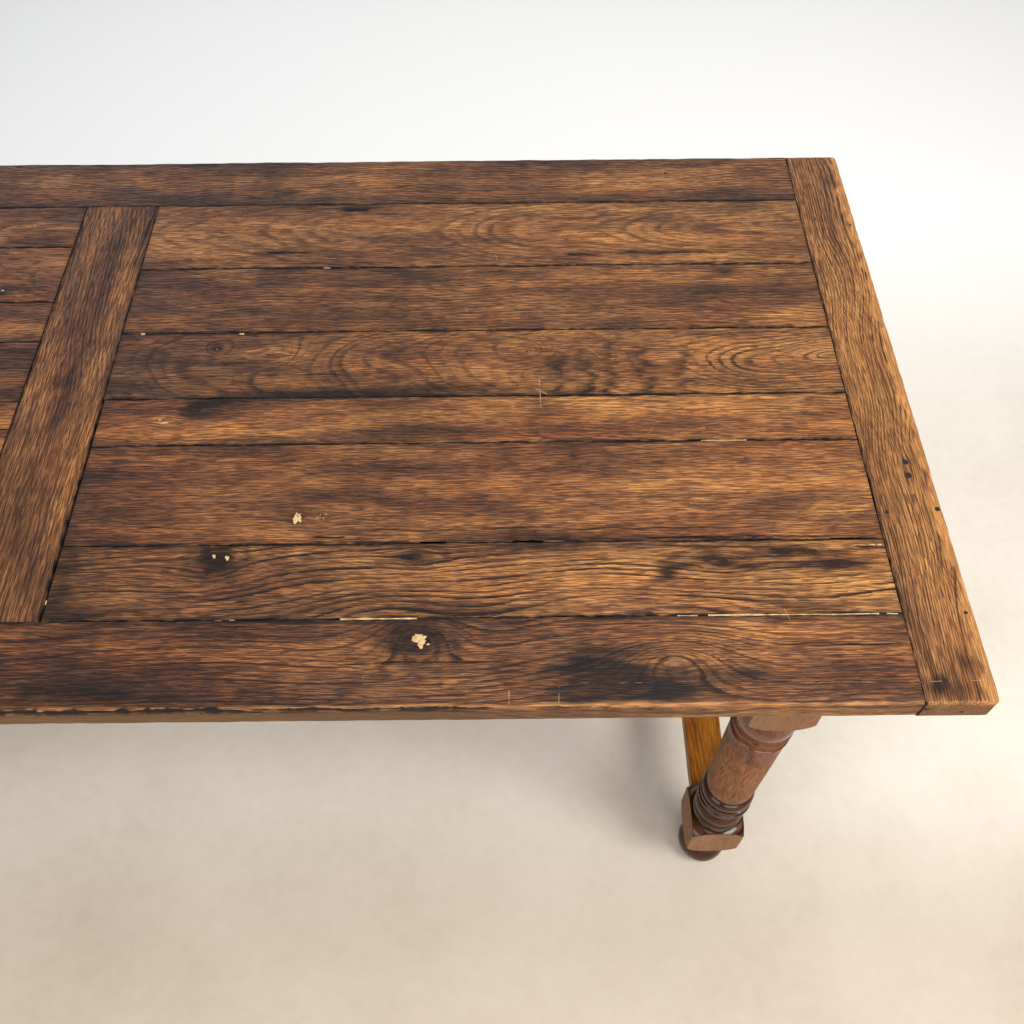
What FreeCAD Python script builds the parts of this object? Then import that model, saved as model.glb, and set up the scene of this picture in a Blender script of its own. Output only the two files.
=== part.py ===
import FreeCAD, Part
import os
import re

import Sketcher

# Farmhouse dining table. A framed plank top stands on four legs turned from square
# posts. Aprons join the legs under the top and a low stretcher frame joins them near
# the floor. Millimetres, +X along the length to the right, +Y to the back, +Z up, with
# the origin on the floor under the middle of the top.

# Driving sizes. Each one goes into the sheet under its own name.
SIZES = {
    # overall
    "table_length": 2124,
    "table_depth": 888,
    "table_height": 760,
    "top_thickness": 32,
    # members of the framed top
    "end_board_width": 77,
    "cross_rail_width": 105,
    "front_rail_width": 104,
    "back_rail_width": 100,
    "corner_radius": 9,
    "arris_bevel": 1.8,
    "seam_gap": 0.8,
    "end_seam": 0.5,
    "open_end_seam": 2.6,
    "tongue_length": 12,
    "tongue_thickness": 10,
    "rail_tenon_length": 46,
    "rail_tenon_width": 62,
    "cross_tenon_length": 42,
    "cross_tenon_width": 64,
    "joint_clearance": 0.2,
    # legs
    "leg_size": 80,
    "end_overhang": 146.5,
    "front_overhang": 34.5,
    "lower_block_low": 111,
    "lower_block_high": 166.5,
    "upper_block_low": 618.5,
    "shoulder_rise": 17.6,
    "shaft_low": 311,
    "shaft_high": 519,
    "shaft_low_radius": 34.7,
    "shaft_high_radius": 36.8,
    "foot_radius": 38,
    "foot_height": 57,
    "ankle_radius": 25.5,
    "ankle_cove": 10,
    # aprons under the top
    "apron_height": 90,
    "apron_thickness": 22,
    "apron_setback": 9,
    "apron_tenon_length": 34,
    "apron_tenon_thickness": 10,
    "apron_shoulder": 14,
    # stretchers near the floor
    "stretcher_top": 158,
    "stretcher_width": 58,
    "stretcher_thickness": 31,
    "stretcher_arris": 2,
    "stretcher_tenon_length": 36,
    "stretcher_tenon_thickness": 18,
    "stretcher_shoulder": 3,
    "centre_tenon_length": 34,
    "centre_tenon_width": 38,
    "centre_tenon_thickness": 12,
    # wooden pegs, cleft to eight sides, measured to a corner
    "peg_radius": 4.8,
    "peg_inset": 16,
    "peg_spacing": 34,
    "peg_proud": 0.6,
    "apron_peg_length": 38,
    "stretcher_peg_length": 60,
    "centre_peg_length": 26,
    "centre_peg_spacing": 20,
    # bearer under the cross rail
    "bearer_width": 50,
    "bearer_height": 60,
    "bearer_tenon_length": 12,
    "bearer_tenon_width": 22,
    "bearer_shoulder": 12,
    # glue blocks that hold the top to the aprons and the bearer
    "block_length": 90,
    "block_side": 30,
    "block_bevel": 12,
}

# Plank widths as shares of the open field between the rails, from the back forwards.
RIGHT_PLANK_SHARES = [0.196, 0.1795, 0.166, 0.1085, 0.2095, 0.1405]
LEFT_PLANK_SHARES = [0.1267, 0.1593, 0.109, 0.1485, 0.0644, 0.2019, 0.1902]
# The front planks of the right field have shrunk away from the cross rail.
OPEN_PLANKS = ("right_plank_4", "right_plank_5", "right_plank_6")
# Places of the glue blocks along each side, as shares of the apron's length.
LONG_BLOCK_SHARES = [-0.36, -0.12, 0.12, 0.36]
SHORT_BLOCK_SHARES = [-0.24, 0.24]
BEARER_BLOCK_SHARES = [-0.3, 0.3]

os.makedirs("parts", exist_ok=True)
doc = FreeCAD.newDocument("farmhouse_table")
sheet = doc.addObject("Spreadsheet::Sheet", "Sizes")
for row, (size_name, size) in enumerate(SIZES.items(), start=1):
    sheet.set(f"A{row}", size_name)
    sheet.set(f"B{row}", str(size))
    sheet.setAlias(f"B{row}", size_name)
doc.recompute()


# Expressions that several pieces share.
HALF_LENGTH = "table_length / 2"
HALF_DEPTH = "table_depth / 2"
LEG_HEIGHT = "(table_height - top_thickness)"
HALF_LEG = "leg_size / 2"
LEG_X = "(table_length / 2 - end_overhang - leg_size / 2)"
LEG_Y = "(front_overhang + leg_size / 2 - table_depth / 2)"
FIELD_DEPTH = "(table_depth - front_rail_width - back_rail_width)"
FIELD_BACK = "(table_depth / 2 - back_rail_width)"
FIELD_LENGTH = "(table_length / 2 - end_board_width - cross_rail_width / 2)"
JOINT_LOW = "(top_thickness - tongue_thickness) / 2"
JOINT_HIGH = "((top_thickness + tongue_thickness) / 2 + joint_clearance)"
JOINT_OPENING = "tongue_thickness + 2 * joint_clearance"
LONG_APRON = "(table_length - 2 * end_overhang - 2 * leg_size)"
SHORT_APRON = "(table_depth - 2 * front_overhang - 2 * leg_size)"
APRON_MIDDLE = "(apron_setback + apron_thickness / 2)"
APRON_LOW = "(table_height - top_thickness - apron_height)"
APRON_TENON_HEIGHT = "(apron_height - 2 * apron_shoulder)"
APRON_MIDHEIGHT = f"({APRON_LOW} + apron_height / 2)"
APRON_PEG_HEIGHTS = [f"{APRON_MIDHEIGHT} {sign} peg_spacing / 2" for sign in ("-", "+")]
STRETCHER_LOW = "(stretcher_top - stretcher_thickness)"
STRETCHER_TENON_HEIGHT = "(stretcher_thickness - 2 * stretcher_shoulder)"
STRETCHER_MIDDLE = "(stretcher_top - stretcher_thickness / 2)"
CENTRE_LENGTH = f"(2 * {LEG_X} - stretcher_width)"
PEG_HOLE = "(peg_radius + joint_clearance)"
# How far the middle of a quarter circle stands in from the corner, as a share of its radius.
ARC_MIDDLE_SHARE = 0.29289
# Corners of an eight-sided figure as shares of its radius.
EIGHT_SIDE_SHARES = [
    (1, 0), (0.70711, 0.70711), (0, 1), (-0.70711, 0.70711),
    (-1, 0), (-0.70711, -0.70711), (0, -1), (0.70711, -0.70711),
]


def sized(text):
    """Point every size name in an expression at the sheet."""

    def cell(match):
        word = match.group(0)
        return f"Sizes.{word}" if word in SIZES else word

    return re.sub(r"[a-z_]+", cell, text)


def value(text):
    """Work out an expression with the sizes as they are now."""
    return float(sheet.evalExpression(sized(text)))


def new_body(name):
    """Start an empty body whose label names its file."""
    body = doc.addObject("PartDesign::Body", name)
    body.Label = name
    return body


def new_sketch(body, name, role, lift="0"):
    """Add a sketch on one of the body's origin planes, raised along its normal."""
    planes = {feature.Role: feature for feature in body.Origin.OriginFeatures}
    sketch = body.newObject("Sketcher::SketchObject", name)
    sketch.AttachmentSupport = [(planes[role], "")]
    sketch.MapMode = "FlatFace"
    if lift != "0":
        sketch.setExpression("AttachmentOffset.Base.z", sized(lift))
    return sketch


def pin(sketch, geometry, position, across, up):
    """Hold one point of a sketch at two expressions."""
    for kind, text, axis in (("DistanceX", across, -2), ("DistanceY", up, -1)):
        if text == "0":
            sketch.addConstraint(Sketcher.Constraint("PointOnObject", geometry, position, axis))
            continue
        rule = Sketcher.Constraint(kind, -1, 1, geometry, position, value(text))
        index = sketch.addConstraint(rule)
        sketch.setExpression(f"Constraints[{index}]", sized(text))


def vector(across, up):
    """Turn a pair of expressions into a point of the sketch."""
    return FreeCAD.Vector(value(across), value(up), 0)


def outline(sketch, corners):
    """Draw a closed outline.

    Each corner is a pair of expressions. A corner with four holds the middle of an arc
    too, and the arc runs from it through that middle to the next corner.
    """
    stretches = []
    for corner, following in zip(corners, corners[1:] + corners[:1]):
        start = vector(*corner[:2])
        end = vector(*following[:2])
        if len(corner) == 2:
            index = sketch.addGeometry(Part.LineSegment(start, end))
            stretches.append((index, 1, 2))
            continue
        middle = vector(*corner[2:])
        turn = (middle - start).cross(end - start).z
        if turn > 0:
            index = sketch.addGeometry(Part.Arc(start, middle, end))
            stretches.append((index, 1, 2))
        else:
            index = sketch.addGeometry(Part.Arc(end, middle, start))
            stretches.append((index, 2, 1))
        point = sketch.addGeometry(Part.Point(middle), True)
        pin(sketch, point, 1, *corner[2:])
        sketch.addConstraint(Sketcher.Constraint("PointOnObject", point, 1, index))
    for corner, this, after in zip(corners, stretches, stretches[1:] + stretches[:1]):
        sketch.addConstraint(Sketcher.Constraint("Coincident", this[0], this[2], after[0], after[1]))
        pin(sketch, this[0], this[1], *corner[:2])


def rectangle(sketch, left, right, low, high):
    """Draw a rectangle between four expressions."""
    outline(sketch, [(left, low), (right, low), (right, high), (left, high)])


def peg_holes(sketch, places):
    """Draw the eight-sided hole of a peg at each pair of expressions."""
    for across, up in places:
        corners = []
        for side_share, rise_share in EIGHT_SIDE_SHARES:
            corners.append((f"{across} + {side_share} * {PEG_HOLE}", f"{up} + {rise_share} * {PEG_HOLE}"))
        outline(sketch, corners)


def extrude(body, kind, sketch, length, side="One side", reverse=False):
    """Pad or pocket a sketch by an expression."""
    feature = body.newObject(f"PartDesign::{kind}", f"{sketch.Name}_{kind}")
    feature.Profile = sketch
    feature.setExpression("Length", sized(length))
    feature.SideType = side
    feature.Reversed = reverse
    return feature


def revolve(body, kind, sketch):
    """Turn a sketch round its upright axis."""
    feature = body.newObject(f"PartDesign::{kind}", f"{sketch.Name}_{kind}")
    feature.Profile = sketch
    feature.ReferenceAxis = (sketch, ["V_Axis"])
    return feature


def seat(piece, x="0", y="0", z="0", turn=None):
    """Put a piece at its place, turned about the given axis and angle first."""
    if turn:
        piece.Placement.Rotation = FreeCAD.Rotation(*turn)
    for axis, text in (("x", x), ("y", y), ("z", z)):
        if text != "0":
            piece.setExpression(f"Placement.Base.{axis}", sized(text))


def mirrored(source, name, normal):
    """Add the opposite hand of a piece across a middle plane of the table."""
    piece = doc.addObject("Part::Mirroring", name)
    piece.Label = name
    piece.Source = source
    piece.Normal = normal
    return piece


def grouped(name, pieces):
    """Join like fasteners into one node of separate solids."""
    group = doc.addObject("Part::Compound", name)
    group.Label = name
    group.Links = pieces
    return group


def bevel_edges(body, feature, name, size, chosen):
    """Bevel the worn edges of a feature that the test picks."""
    doc.recompute()
    edges = []
    for number, edge in enumerate(feature.Shape.Edges, start=1):
        if chosen(edge):
            edges.append(f"Edge{number}")
    bevel = body.newObject("PartDesign::Chamfer", name)
    bevel.Base = (feature, edges)
    bevel.setExpression("Size", sized(size))
    return bevel


ALONG_X = FreeCAD.Vector(1, 0, 0)
ALONG_Y = FreeCAD.Vector(0, 1, 0)
UPRIGHT = FreeCAD.Vector(0, 0, 1)
TURN_TO_DEPTH = (UPRIGHT, 90)
POINT_TO_BACK = (ALONG_X, -90)
POINT_TO_LEFT = (ALONG_Y, -90)
NEAR = 0.001


def top_outer_edge(side, limit):
    """Make a test for the top edges that lie beyond a limit on one side of a board."""
    height = value("top_thickness")

    def chosen(edge):
        points = [vertex.Point for vertex in edge.Vertexes]
        level = all(abs(point.z - height) < NEAR for point in points)
        outside = all(side(point) > limit - NEAR for point in points)
        return level and outside

    return chosen


# Framed top

def make_rail(name, width, front_edge_is_outer):
    """Long rail of the top, with a tenon at each end and a mortise for the cross rail."""
    body = new_body(name)
    half = f"({HALF_LENGTH} - end_board_width)"
    plan = new_sketch(body, f"{name}_plan", "XY_Plane")
    rectangle(plan, f"-{half}", half, f"-{width} / 2", f"{width} / 2")
    board = extrude(body, "Pad", plan, "top_thickness")
    sign = "-" if front_edge_is_outer else ""
    outer = value(f"{width} / 2")
    side = (lambda point: -point.y) if front_edge_is_outer else (lambda point: point.y)
    bevel_edges(body, board, f"{name}_arris", "arris_bevel", top_outer_edge(side, outer))
    tenons = new_sketch(body, f"{name}_tenons", "XY_Plane", JOINT_LOW)
    reach = f"({half} + rail_tenon_length)"
    rectangle(tenons, f"-{reach}", reach, "-rail_tenon_width / 2", "rail_tenon_width / 2")
    extrude(body, "Pad", tenons, "tongue_thickness")
    mortise = new_sketch(body, f"{name}_mortise", "XY_Plane", JOINT_HIGH)
    inner = "" if front_edge_is_outer else "-"
    mouth = f"{inner}{width} / 2"
    floor = f"{inner}({width} / 2 - cross_tenon_length - joint_clearance)"
    cheek = "(cross_tenon_width / 2 + joint_clearance)"
    low, high = (floor, mouth) if front_edge_is_outer else (mouth, floor)
    rectangle(mortise, f"-{cheek}", cheek, low, high)
    extrude(body, "Pocket", mortise, JOINT_OPENING)
    middle = f"{sign}({HALF_DEPTH} - {width} / 2)"
    seat(body, y=middle, z=LEG_HEIGHT)
    return body


def make_end_board():
    """Right end board, as long as the table is deep, grooved for the plank tongues."""
    name = "right_end_board"
    body = new_body(name)
    plan = new_sketch(body, f"{name}_plan", "XY_Plane")
    inner = "-end_board_width / 2"
    outer = "end_board_width / 2"
    bend = f"corner_radius * {ARC_MIDDLE_SHARE}"
    outline(plan, [
        (inner, f"-{HALF_DEPTH}"),
        (f"{outer} - corner_radius", f"-{HALF_DEPTH}", f"{outer} - {bend}", f"{bend} - {HALF_DEPTH}"),
        (outer, f"corner_radius - {HALF_DEPTH}"),
        (outer, f"{HALF_DEPTH} - corner_radius", f"{outer} - {bend}", f"{HALF_DEPTH} - {bend}"),
        (f"{outer} - corner_radius", HALF_DEPTH),
        (inner, HALF_DEPTH),
    ])
    board = extrude(body, "Pad", plan, "top_thickness")
    seam = value(inner)

    def outer_rim(edge):
        points = [vertex.Point for vertex in edge.Vertexes]
        level = all(abs(point.z - value("top_thickness")) < NEAR for point in points)
        at_seam = all(point.x < seam + NEAR for point in points)
        return level and not at_seam

    bevel_edges(body, board, f"{name}_arris", "arris_bevel", outer_rim)
    groove = new_sketch(body, f"{name}_groove", "XY_Plane", JOINT_HIGH)
    floor = "tongue_length - end_board_width / 2"
    rectangle(groove, inner, floor, f"front_rail_width - {HALF_DEPTH}", f"{HALF_DEPTH} - back_rail_width")
    extrude(body, "Pocket", groove, JOINT_OPENING)
    for rail, middle in (
        ("front", f"(front_rail_width / 2 - {HALF_DEPTH})"),
        ("back", f"({HALF_DEPTH} - back_rail_width / 2)"),
    ):
        mortise = new_sketch(body, f"{name}_{rail}_mortise", "XY_Plane", JOINT_HIGH)
        cheek = "(rail_tenon_width / 2 + joint_clearance)"
        deep = "rail_tenon_length + joint_clearance - end_board_width / 2"
        rectangle(mortise, inner, deep, f"{middle} - {cheek}", f"{middle} + {cheek}")
        extrude(body, "Pocket", mortise, JOINT_OPENING)
    seat(body, x=f"{HALF_LENGTH} - end_board_width / 2", z=LEG_HEIGHT)
    return body


def make_cross_rail():
    """Cross rail in the middle of the top, tenoned between the long rails."""
    name = "cross_rail"
    body = new_body(name)
    plan = new_sketch(body, f"{name}_plan", "XY_Plane")
    half = f"{FIELD_DEPTH} / 2"
    edge = "cross_rail_width / 2"
    rectangle(plan, f"-{edge}", edge, f"-{half}", half)
    extrude(body, "Pad", plan, "top_thickness")
    for hand, left, right in (
        ("left", f"-{edge}", f"tongue_length - {edge}"),
        ("right", f"{edge} - tongue_length", edge),
    ):
        groove = new_sketch(body, f"{name}_{hand}_groove", "XY_Plane", JOINT_HIGH)
        rectangle(groove, left, right, f"-{half}", half)
        extrude(body, "Pocket", groove, JOINT_OPENING)
    tenons = new_sketch(body, f"{name}_tenons", "XY_Plane", JOINT_LOW)
    reach = f"({half} + cross_tenon_length)"
    rectangle(tenons, "-cross_tenon_width / 2", "cross_tenon_width / 2", f"-{reach}", reach)
    extrude(body, "Pad", tenons, "tongue_thickness")
    shift = "(front_rail_width - back_rail_width) / 2"
    seat(body, y=shift, z=LEG_HEIGHT)
    return body


def make_planks(field, shares, direction):
    """Planks of one field, tongued into the cross rail and the end board."""
    planks = []
    behind = 0
    for number, share in enumerate(shares, start=1):
        name = f"{field}_plank_{number}"
        body = new_body(name)
        inner_seam = "open_end_seam" if name in OPEN_PLANKS else "end_seam"
        length = f"({FIELD_LENGTH} - end_seam - {inner_seam})"
        shoulder = f"{length} / 2"
        tip = f"({length} / 2 + tongue_length - end_seam)"
        low = JOINT_LOW
        high = f"({JOINT_LOW} + tongue_thickness)"
        side = new_sketch(body, f"{name}_side", "XZ_Plane")
        outline(side, [
            (f"-{shoulder}", "0"), (shoulder, "0"), (shoulder, low), (tip, low),
            (tip, high), (shoulder, high), (shoulder, "top_thickness"),
            (f"-{shoulder}", "top_thickness"), (f"-{shoulder}", high), (f"-{tip}", high),
            (f"-{tip}", low), (f"-{shoulder}", low),
        ])
        width = f"{share} * {FIELD_DEPTH} - seam_gap"
        extrude(body, "Pad", side, width, side="Symmetric")
        centre = f"(cross_rail_width / 2 + {inner_seam} + {length} / 2)"
        line = f"{FIELD_BACK} - {behind + share / 2:.5f} * {FIELD_DEPTH}"
        seat(body, x=f"{direction}{centre}", y=line, z=LEG_HEIGHT)
        planks.append(body)
        behind += share
    return planks


# Turned legs

# The shoulder that the lathe leaves between a square block and the turning runs from the
# block's arrises, half a diagonal from the axis, down to its faces, as shares of the side.
CORNER_SHARE = 0.7072
SHOULDER_SHARE = 0.475


def shoulder(block_edge, sign):
    """Points of the shoulder beside one end of a block, the block's end first."""
    return [
        (f"{CORNER_SHARE} * leg_size", block_edge),
        (f"{SHOULDER_SHARE} * leg_size", f"{block_edge} {sign} shoulder_rise"),
    ]


def turned_points(base, span, shares):
    """Points of a turning from shares: radius of half the leg and height in the span."""
    points = []
    for radius_share, height_share in shares:
        points.append((f"{radius_share} * {HALF_LEG}", f"{base} + {height_share} * {span}"))
    return points


# Radius and height shares of the rings above the lower block: a bead, a torus, a neck,
# two fillets with a quirk between, a torus and the cove under the shaft.
LOWER_RING_SHARES = [
    (0.865, 0.025), (0.933, 0.070), (0.933, 0.135), (0.865, 0.180),
    (0.938, 0.235), (0.938, 0.325), (0.845, 0.375),
    (0.765, 0.440), (0.765, 0.500),
    (0.975, 0.574), (0.975, 0.622), (0.915, 0.660), (0.957, 0.700), (0.957, 0.740),
    (0.890, 0.752), (0.948, 0.790), (0.948, 0.855), (0.865, 0.905),
    (0.800, 0.928), (0.800, 0.955),
]
# Rings under the upper block: two thin fillets with a hollow between and an ovolo.
UPPER_RING_SHARES = [
    (0.947, 0.012), (0.947, 0.050), (0.912, 0.065), (0.912, 0.235),
    (0.947, 0.250), (0.947, 0.290), (0.905, 0.345),
    (0.968, 0.520), (0.968, 0.760), (0.880, 0.940),
]
# The bun foot, as shares of the foot's radius and height.
FOOT_SHARES = [(0.720, 0), (0.940, 0.180), (1, 0.420), (0.950, 0.800), (0.720, 1)]
ANKLE_SHARE = 1.05


def turn_leg(body, name):
    """Cut the turned stretches of a leg from its square post."""
    outside = "leg_size"
    low_base = "(lower_block_high + shoulder_rise)"
    low_span = "(shaft_low - lower_block_high - shoulder_rise)"
    high_base = "shaft_high"
    high_span = "(upper_block_low - shoulder_rise - shaft_high)"
    points = [(outside, "upper_block_low"), (outside, "lower_block_high")]
    points += shoulder("lower_block_high", "+")
    points += turned_points(low_base, low_span, LOWER_RING_SHARES)
    points += [("shaft_low_radius", "shaft_low"), ("shaft_high_radius", "shaft_high")]
    points += turned_points(high_base, high_span, UPPER_RING_SHARES)
    points += reversed(shoulder("upper_block_low", "-"))
    turning = new_sketch(body, f"{name}_turning", "XZ_Plane")
    outline(turning, points)
    revolve(body, "Groove", turning)

    points = [(outside, "lower_block_low"), (outside, "0")]
    for radius_share, height_share in FOOT_SHARES:
        height = f"{height_share} * foot_height" if height_share else "0"
        points.append((f"{radius_share} * foot_radius", height))
    points += [
        ("ankle_radius", f"{ANKLE_SHARE} * foot_height"),
        ("ankle_radius", "lower_block_low - shoulder_rise - ankle_cove"),
    ]
    points += reversed(shoulder("lower_block_low", "-"))
    foot = new_sketch(body, f"{name}_foot", "XZ_Plane")
    outline(foot, points)
    revolve(body, "Groove", foot)


def make_leg():
    """Front right leg: square post, turned shaft and foot, mortises and peg holes."""
    name = "front_right_leg"
    body = new_body(name)
    post = new_sketch(body, f"{name}_post", "XY_Plane")
    rectangle(post, f"-{HALF_LEG}", HALF_LEG, f"-{HALF_LEG}", HALF_LEG)
    extrude(body, "Pad", post, LEG_HEIGHT)
    turn_leg(body, name)

    tenon_top = f"({APRON_LOW} + apron_height - apron_shoulder + joint_clearance)"
    opening = f"{APRON_TENON_HEIGHT} + 2 * joint_clearance"
    floor = f"({HALF_LEG} - apron_tenon_length - joint_clearance)"
    cheek = "(apron_tenon_thickness / 2 + joint_clearance)"
    line = f"({HALF_LEG} - {APRON_MIDDLE})"
    long_side = new_sketch(body, f"{name}_long_mortise", "XY_Plane", tenon_top)
    rectangle(long_side, f"-{HALF_LEG}", f"-{floor}", f"-{line} - {cheek}", f"{cheek} - {line}")
    extrude(body, "Pocket", long_side, opening)
    short_side = new_sketch(body, f"{name}_short_mortise", "XY_Plane", tenon_top)
    rectangle(short_side, f"{line} - {cheek}", f"{line} + {cheek}", floor, HALF_LEG)
    extrude(body, "Pocket", short_side, opening)

    stretcher_tenon_top = "(stretcher_top - stretcher_shoulder + joint_clearance)"
    stretcher_floor = f"({HALF_LEG} - stretcher_tenon_length - joint_clearance)"
    stretcher_cheek = "(stretcher_tenon_thickness / 2 + joint_clearance)"
    low = new_sketch(body, f"{name}_stretcher_mortise", "XY_Plane", stretcher_tenon_top)
    rectangle(low, f"-{stretcher_cheek}", stretcher_cheek, stretcher_floor, HALF_LEG)
    extrude(body, "Pocket", low, f"{STRETCHER_TENON_HEIGHT} + 2 * joint_clearance")

    inset = f"({HALF_LEG} - peg_inset)"
    front = new_sketch(body, f"{name}_front_peg_holes", "XZ_Plane", HALF_LEG)
    peg_holes(front, [(f"-{inset}", height) for height in APRON_PEG_HEIGHTS])
    extrude(body, "Pocket", front, "apron_peg_length")
    side = new_sketch(body, f"{name}_side_peg_holes", "YZ_Plane", HALF_LEG)
    peg_holes(side, [(inset, height) for height in APRON_PEG_HEIGHTS])
    extrude(body, "Pocket", side, "apron_peg_length")
    stretcher = new_sketch(body, f"{name}_stretcher_peg_hole", "YZ_Plane", HALF_LEG)
    peg_holes(stretcher, [(inset, STRETCHER_MIDDLE)])
    extrude(body, "Pocket", stretcher, "stretcher_peg_length")
    seat(body, x=LEG_X, y=LEG_Y)
    return body


# Aprons, bearer and stretchers

def make_apron(name, length):
    """Apron with a shouldered tenon at each end, its outer face towards the front."""
    body = new_body(name)
    half = f"{length} / 2"
    face = "apron_thickness / 2"
    plan = new_sketch(body, f"{name}_plan", "XY_Plane")
    rectangle(plan, f"-{half}", half, f"-{face}", face)
    extrude(body, "Pad", plan, "apron_height")
    tenons = new_sketch(body, f"{name}_tenons", "XY_Plane", "apron_shoulder")
    reach = f"({half} + apron_tenon_length)"
    cheek = "apron_tenon_thickness / 2"
    rectangle(tenons, f"-{reach}", reach, f"-{cheek}", cheek)
    extrude(body, "Pad", tenons, APRON_TENON_HEIGHT)
    holes = new_sketch(body, f"{name}_peg_holes", "XZ_Plane")
    heights = [f"apron_height / 2 {sign} peg_spacing / 2" for sign in ("-", "+")]
    places = [(f"{end}({half} + peg_inset)", height) for end in ("-", "") for height in heights]
    peg_holes(holes, places)
    extrude(body, "Pocket", holes, "2 * apron_thickness", side="Symmetric")
    return body


def make_front_apron():
    """Front apron, mortised for the bearer."""
    name = "front_apron"
    body = make_apron(name, LONG_APRON)
    face = "apron_thickness / 2"
    mortise_top = "apron_height - bearer_shoulder + joint_clearance"
    mortise = new_sketch(body, f"{name}_bearer_mortise", "XY_Plane", mortise_top)
    cheek = "(bearer_tenon_width / 2 + joint_clearance)"
    rectangle(mortise, f"-{cheek}", cheek, f"{face} - bearer_tenon_length - joint_clearance", face)
    extrude(body, "Pocket", mortise, "bearer_height - 2 * bearer_shoulder + 2 * joint_clearance")
    seat(body, y=f"front_overhang + {APRON_MIDDLE} - {HALF_DEPTH}", z=APRON_LOW)
    return body


def make_right_apron():
    """Apron of the right end, its outer face towards the end of the table."""
    body = make_apron("right_apron", SHORT_APRON)
    seat(body, x=f"{HALF_LENGTH} - end_overhang - {APRON_MIDDLE}", z=APRON_LOW, turn=TURN_TO_DEPTH)
    return body


def make_bearer():
    """Bearer under the cross rail, stub tenoned into the long aprons."""
    name = "cross_bearer"
    body = new_body(name)
    half = f"({HALF_DEPTH} - front_overhang - apron_setback - apron_thickness)"
    side = "bearer_width / 2"
    plan = new_sketch(body, f"{name}_plan", "XY_Plane")
    rectangle(plan, f"-{side}", side, f"-{half}", half)
    extrude(body, "Pad", plan, "bearer_height")
    tenons = new_sketch(body, f"{name}_tenons", "XY_Plane", "bearer_shoulder")
    reach = f"({half} + bearer_tenon_length)"
    rectangle(tenons, "-bearer_tenon_width / 2", "bearer_tenon_width / 2", f"-{reach}", reach)
    extrude(body, "Pad", tenons, "bearer_height - 2 * bearer_shoulder")
    seat(body, z=f"{LEG_HEIGHT} - bearer_height")
    return body


def make_stretcher(name, length, tenon_length, tenon_width, tenon_thickness):
    """Flat stretcher board with softened long edges and a tenon at each end."""
    body = new_body(name)
    edge = "stretcher_width / 2"
    soft = "stretcher_arris"
    section = new_sketch(body, f"{name}_section", "YZ_Plane")
    outline(section, [
        (f"{soft} - {edge}", "0"), (f"{edge} - {soft}", "0"), (edge, soft),
        (edge, f"stretcher_thickness - {soft}"), (f"{edge} - {soft}", "stretcher_thickness"),
        (f"{soft} - {edge}", "stretcher_thickness"), (f"-{edge}", f"stretcher_thickness - {soft}"),
        (f"-{edge}", soft),
    ])
    extrude(body, "Pad", section, length, side="Symmetric")
    tenons = new_sketch(body, f"{name}_tenons", "XY_Plane", f"(stretcher_thickness - {tenon_thickness}) / 2")
    reach = f"({length} / 2 + {tenon_length})"
    rectangle(tenons, f"-{reach}", reach, f"-{tenon_width} / 2", f"{tenon_width} / 2")
    extrude(body, "Pad", tenons, tenon_thickness)
    return body


def make_right_stretcher():
    """Stretcher between the two right legs, mortised for the centre stretcher."""
    name = "right_stretcher"
    body = make_stretcher(
        name, SHORT_APRON, "stretcher_tenon_length", "stretcher_tenon_thickness", STRETCHER_TENON_HEIGHT
    )
    holes = new_sketch(body, f"{name}_peg_holes", "XZ_Plane")
    places = [(f"{end}({SHORT_APRON} / 2 + peg_inset)", "stretcher_thickness / 2") for end in ("-", "")]
    peg_holes(holes, places)
    extrude(body, "Pocket", holes, "stretcher_width", side="Symmetric")
    mortise_top = "(stretcher_thickness + centre_tenon_thickness) / 2 + joint_clearance"
    mortise = new_sketch(body, f"{name}_centre_mortise", "XY_Plane", mortise_top)
    cheek = "(centre_tenon_width / 2 + joint_clearance)"
    floor = "stretcher_width / 2 - centre_tenon_length - joint_clearance"
    rectangle(mortise, f"-{cheek}", cheek, floor, "stretcher_width / 2")
    extrude(body, "Pocket", mortise, "centre_tenon_thickness + 2 * joint_clearance")
    pegs = new_sketch(body, f"{name}_centre_peg_holes", "XY_Plane", "stretcher_thickness")
    places = [(f"{sign}centre_peg_spacing / 2", "stretcher_width / 2 - peg_inset") for sign in ("", "-")]
    peg_holes(pegs, places)
    extrude(body, "Pocket", pegs, "centre_peg_length")
    seat(body, x=LEG_X, z=STRETCHER_LOW, turn=TURN_TO_DEPTH)
    return body


def make_centre_stretcher():
    """Long stretcher between the two end stretchers."""
    name = "centre_stretcher"
    body = make_stretcher(
        name, CENTRE_LENGTH, "centre_tenon_length", "centre_tenon_width", "centre_tenon_thickness"
    )
    pegs = new_sketch(body, f"{name}_peg_holes", "XY_Plane", "stretcher_thickness")
    places = []
    for end in ("-", ""):
        for sign in ("", "-"):
            places.append((f"{end}({CENTRE_LENGTH} / 2 + peg_inset)", f"{sign}centre_peg_spacing / 2"))
    peg_holes(pegs, places)
    extrude(body, "Pocket", pegs, "stretcher_thickness")
    seat(body, z=STRETCHER_LOW)
    return body


# Pegs and glue blocks

def make_peg(name, length, x, y, z, turn=None):
    """Eight-sided wooden peg."""
    peg = doc.addObject("Part::Prism", name)
    peg.Label = name
    peg.Polygon = len(EIGHT_SIDE_SHARES)
    peg.setExpression("Circumradius", sized("peg_radius"))
    peg.setExpression("Height", sized(f"{length} + peg_proud"))
    seat(peg, x, y, z, turn)
    return peg


def four_corners(name, pieces):
    """Repeat the pegs of the front right corner at the other three corners."""
    right = pieces + [mirrored(peg, f"{peg.Name}_behind", ALONG_Y) for peg in pieces]
    left = [mirrored(peg, f"{peg.Name}_left", ALONG_X) for peg in right]
    return grouped(name, right + left)


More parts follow.
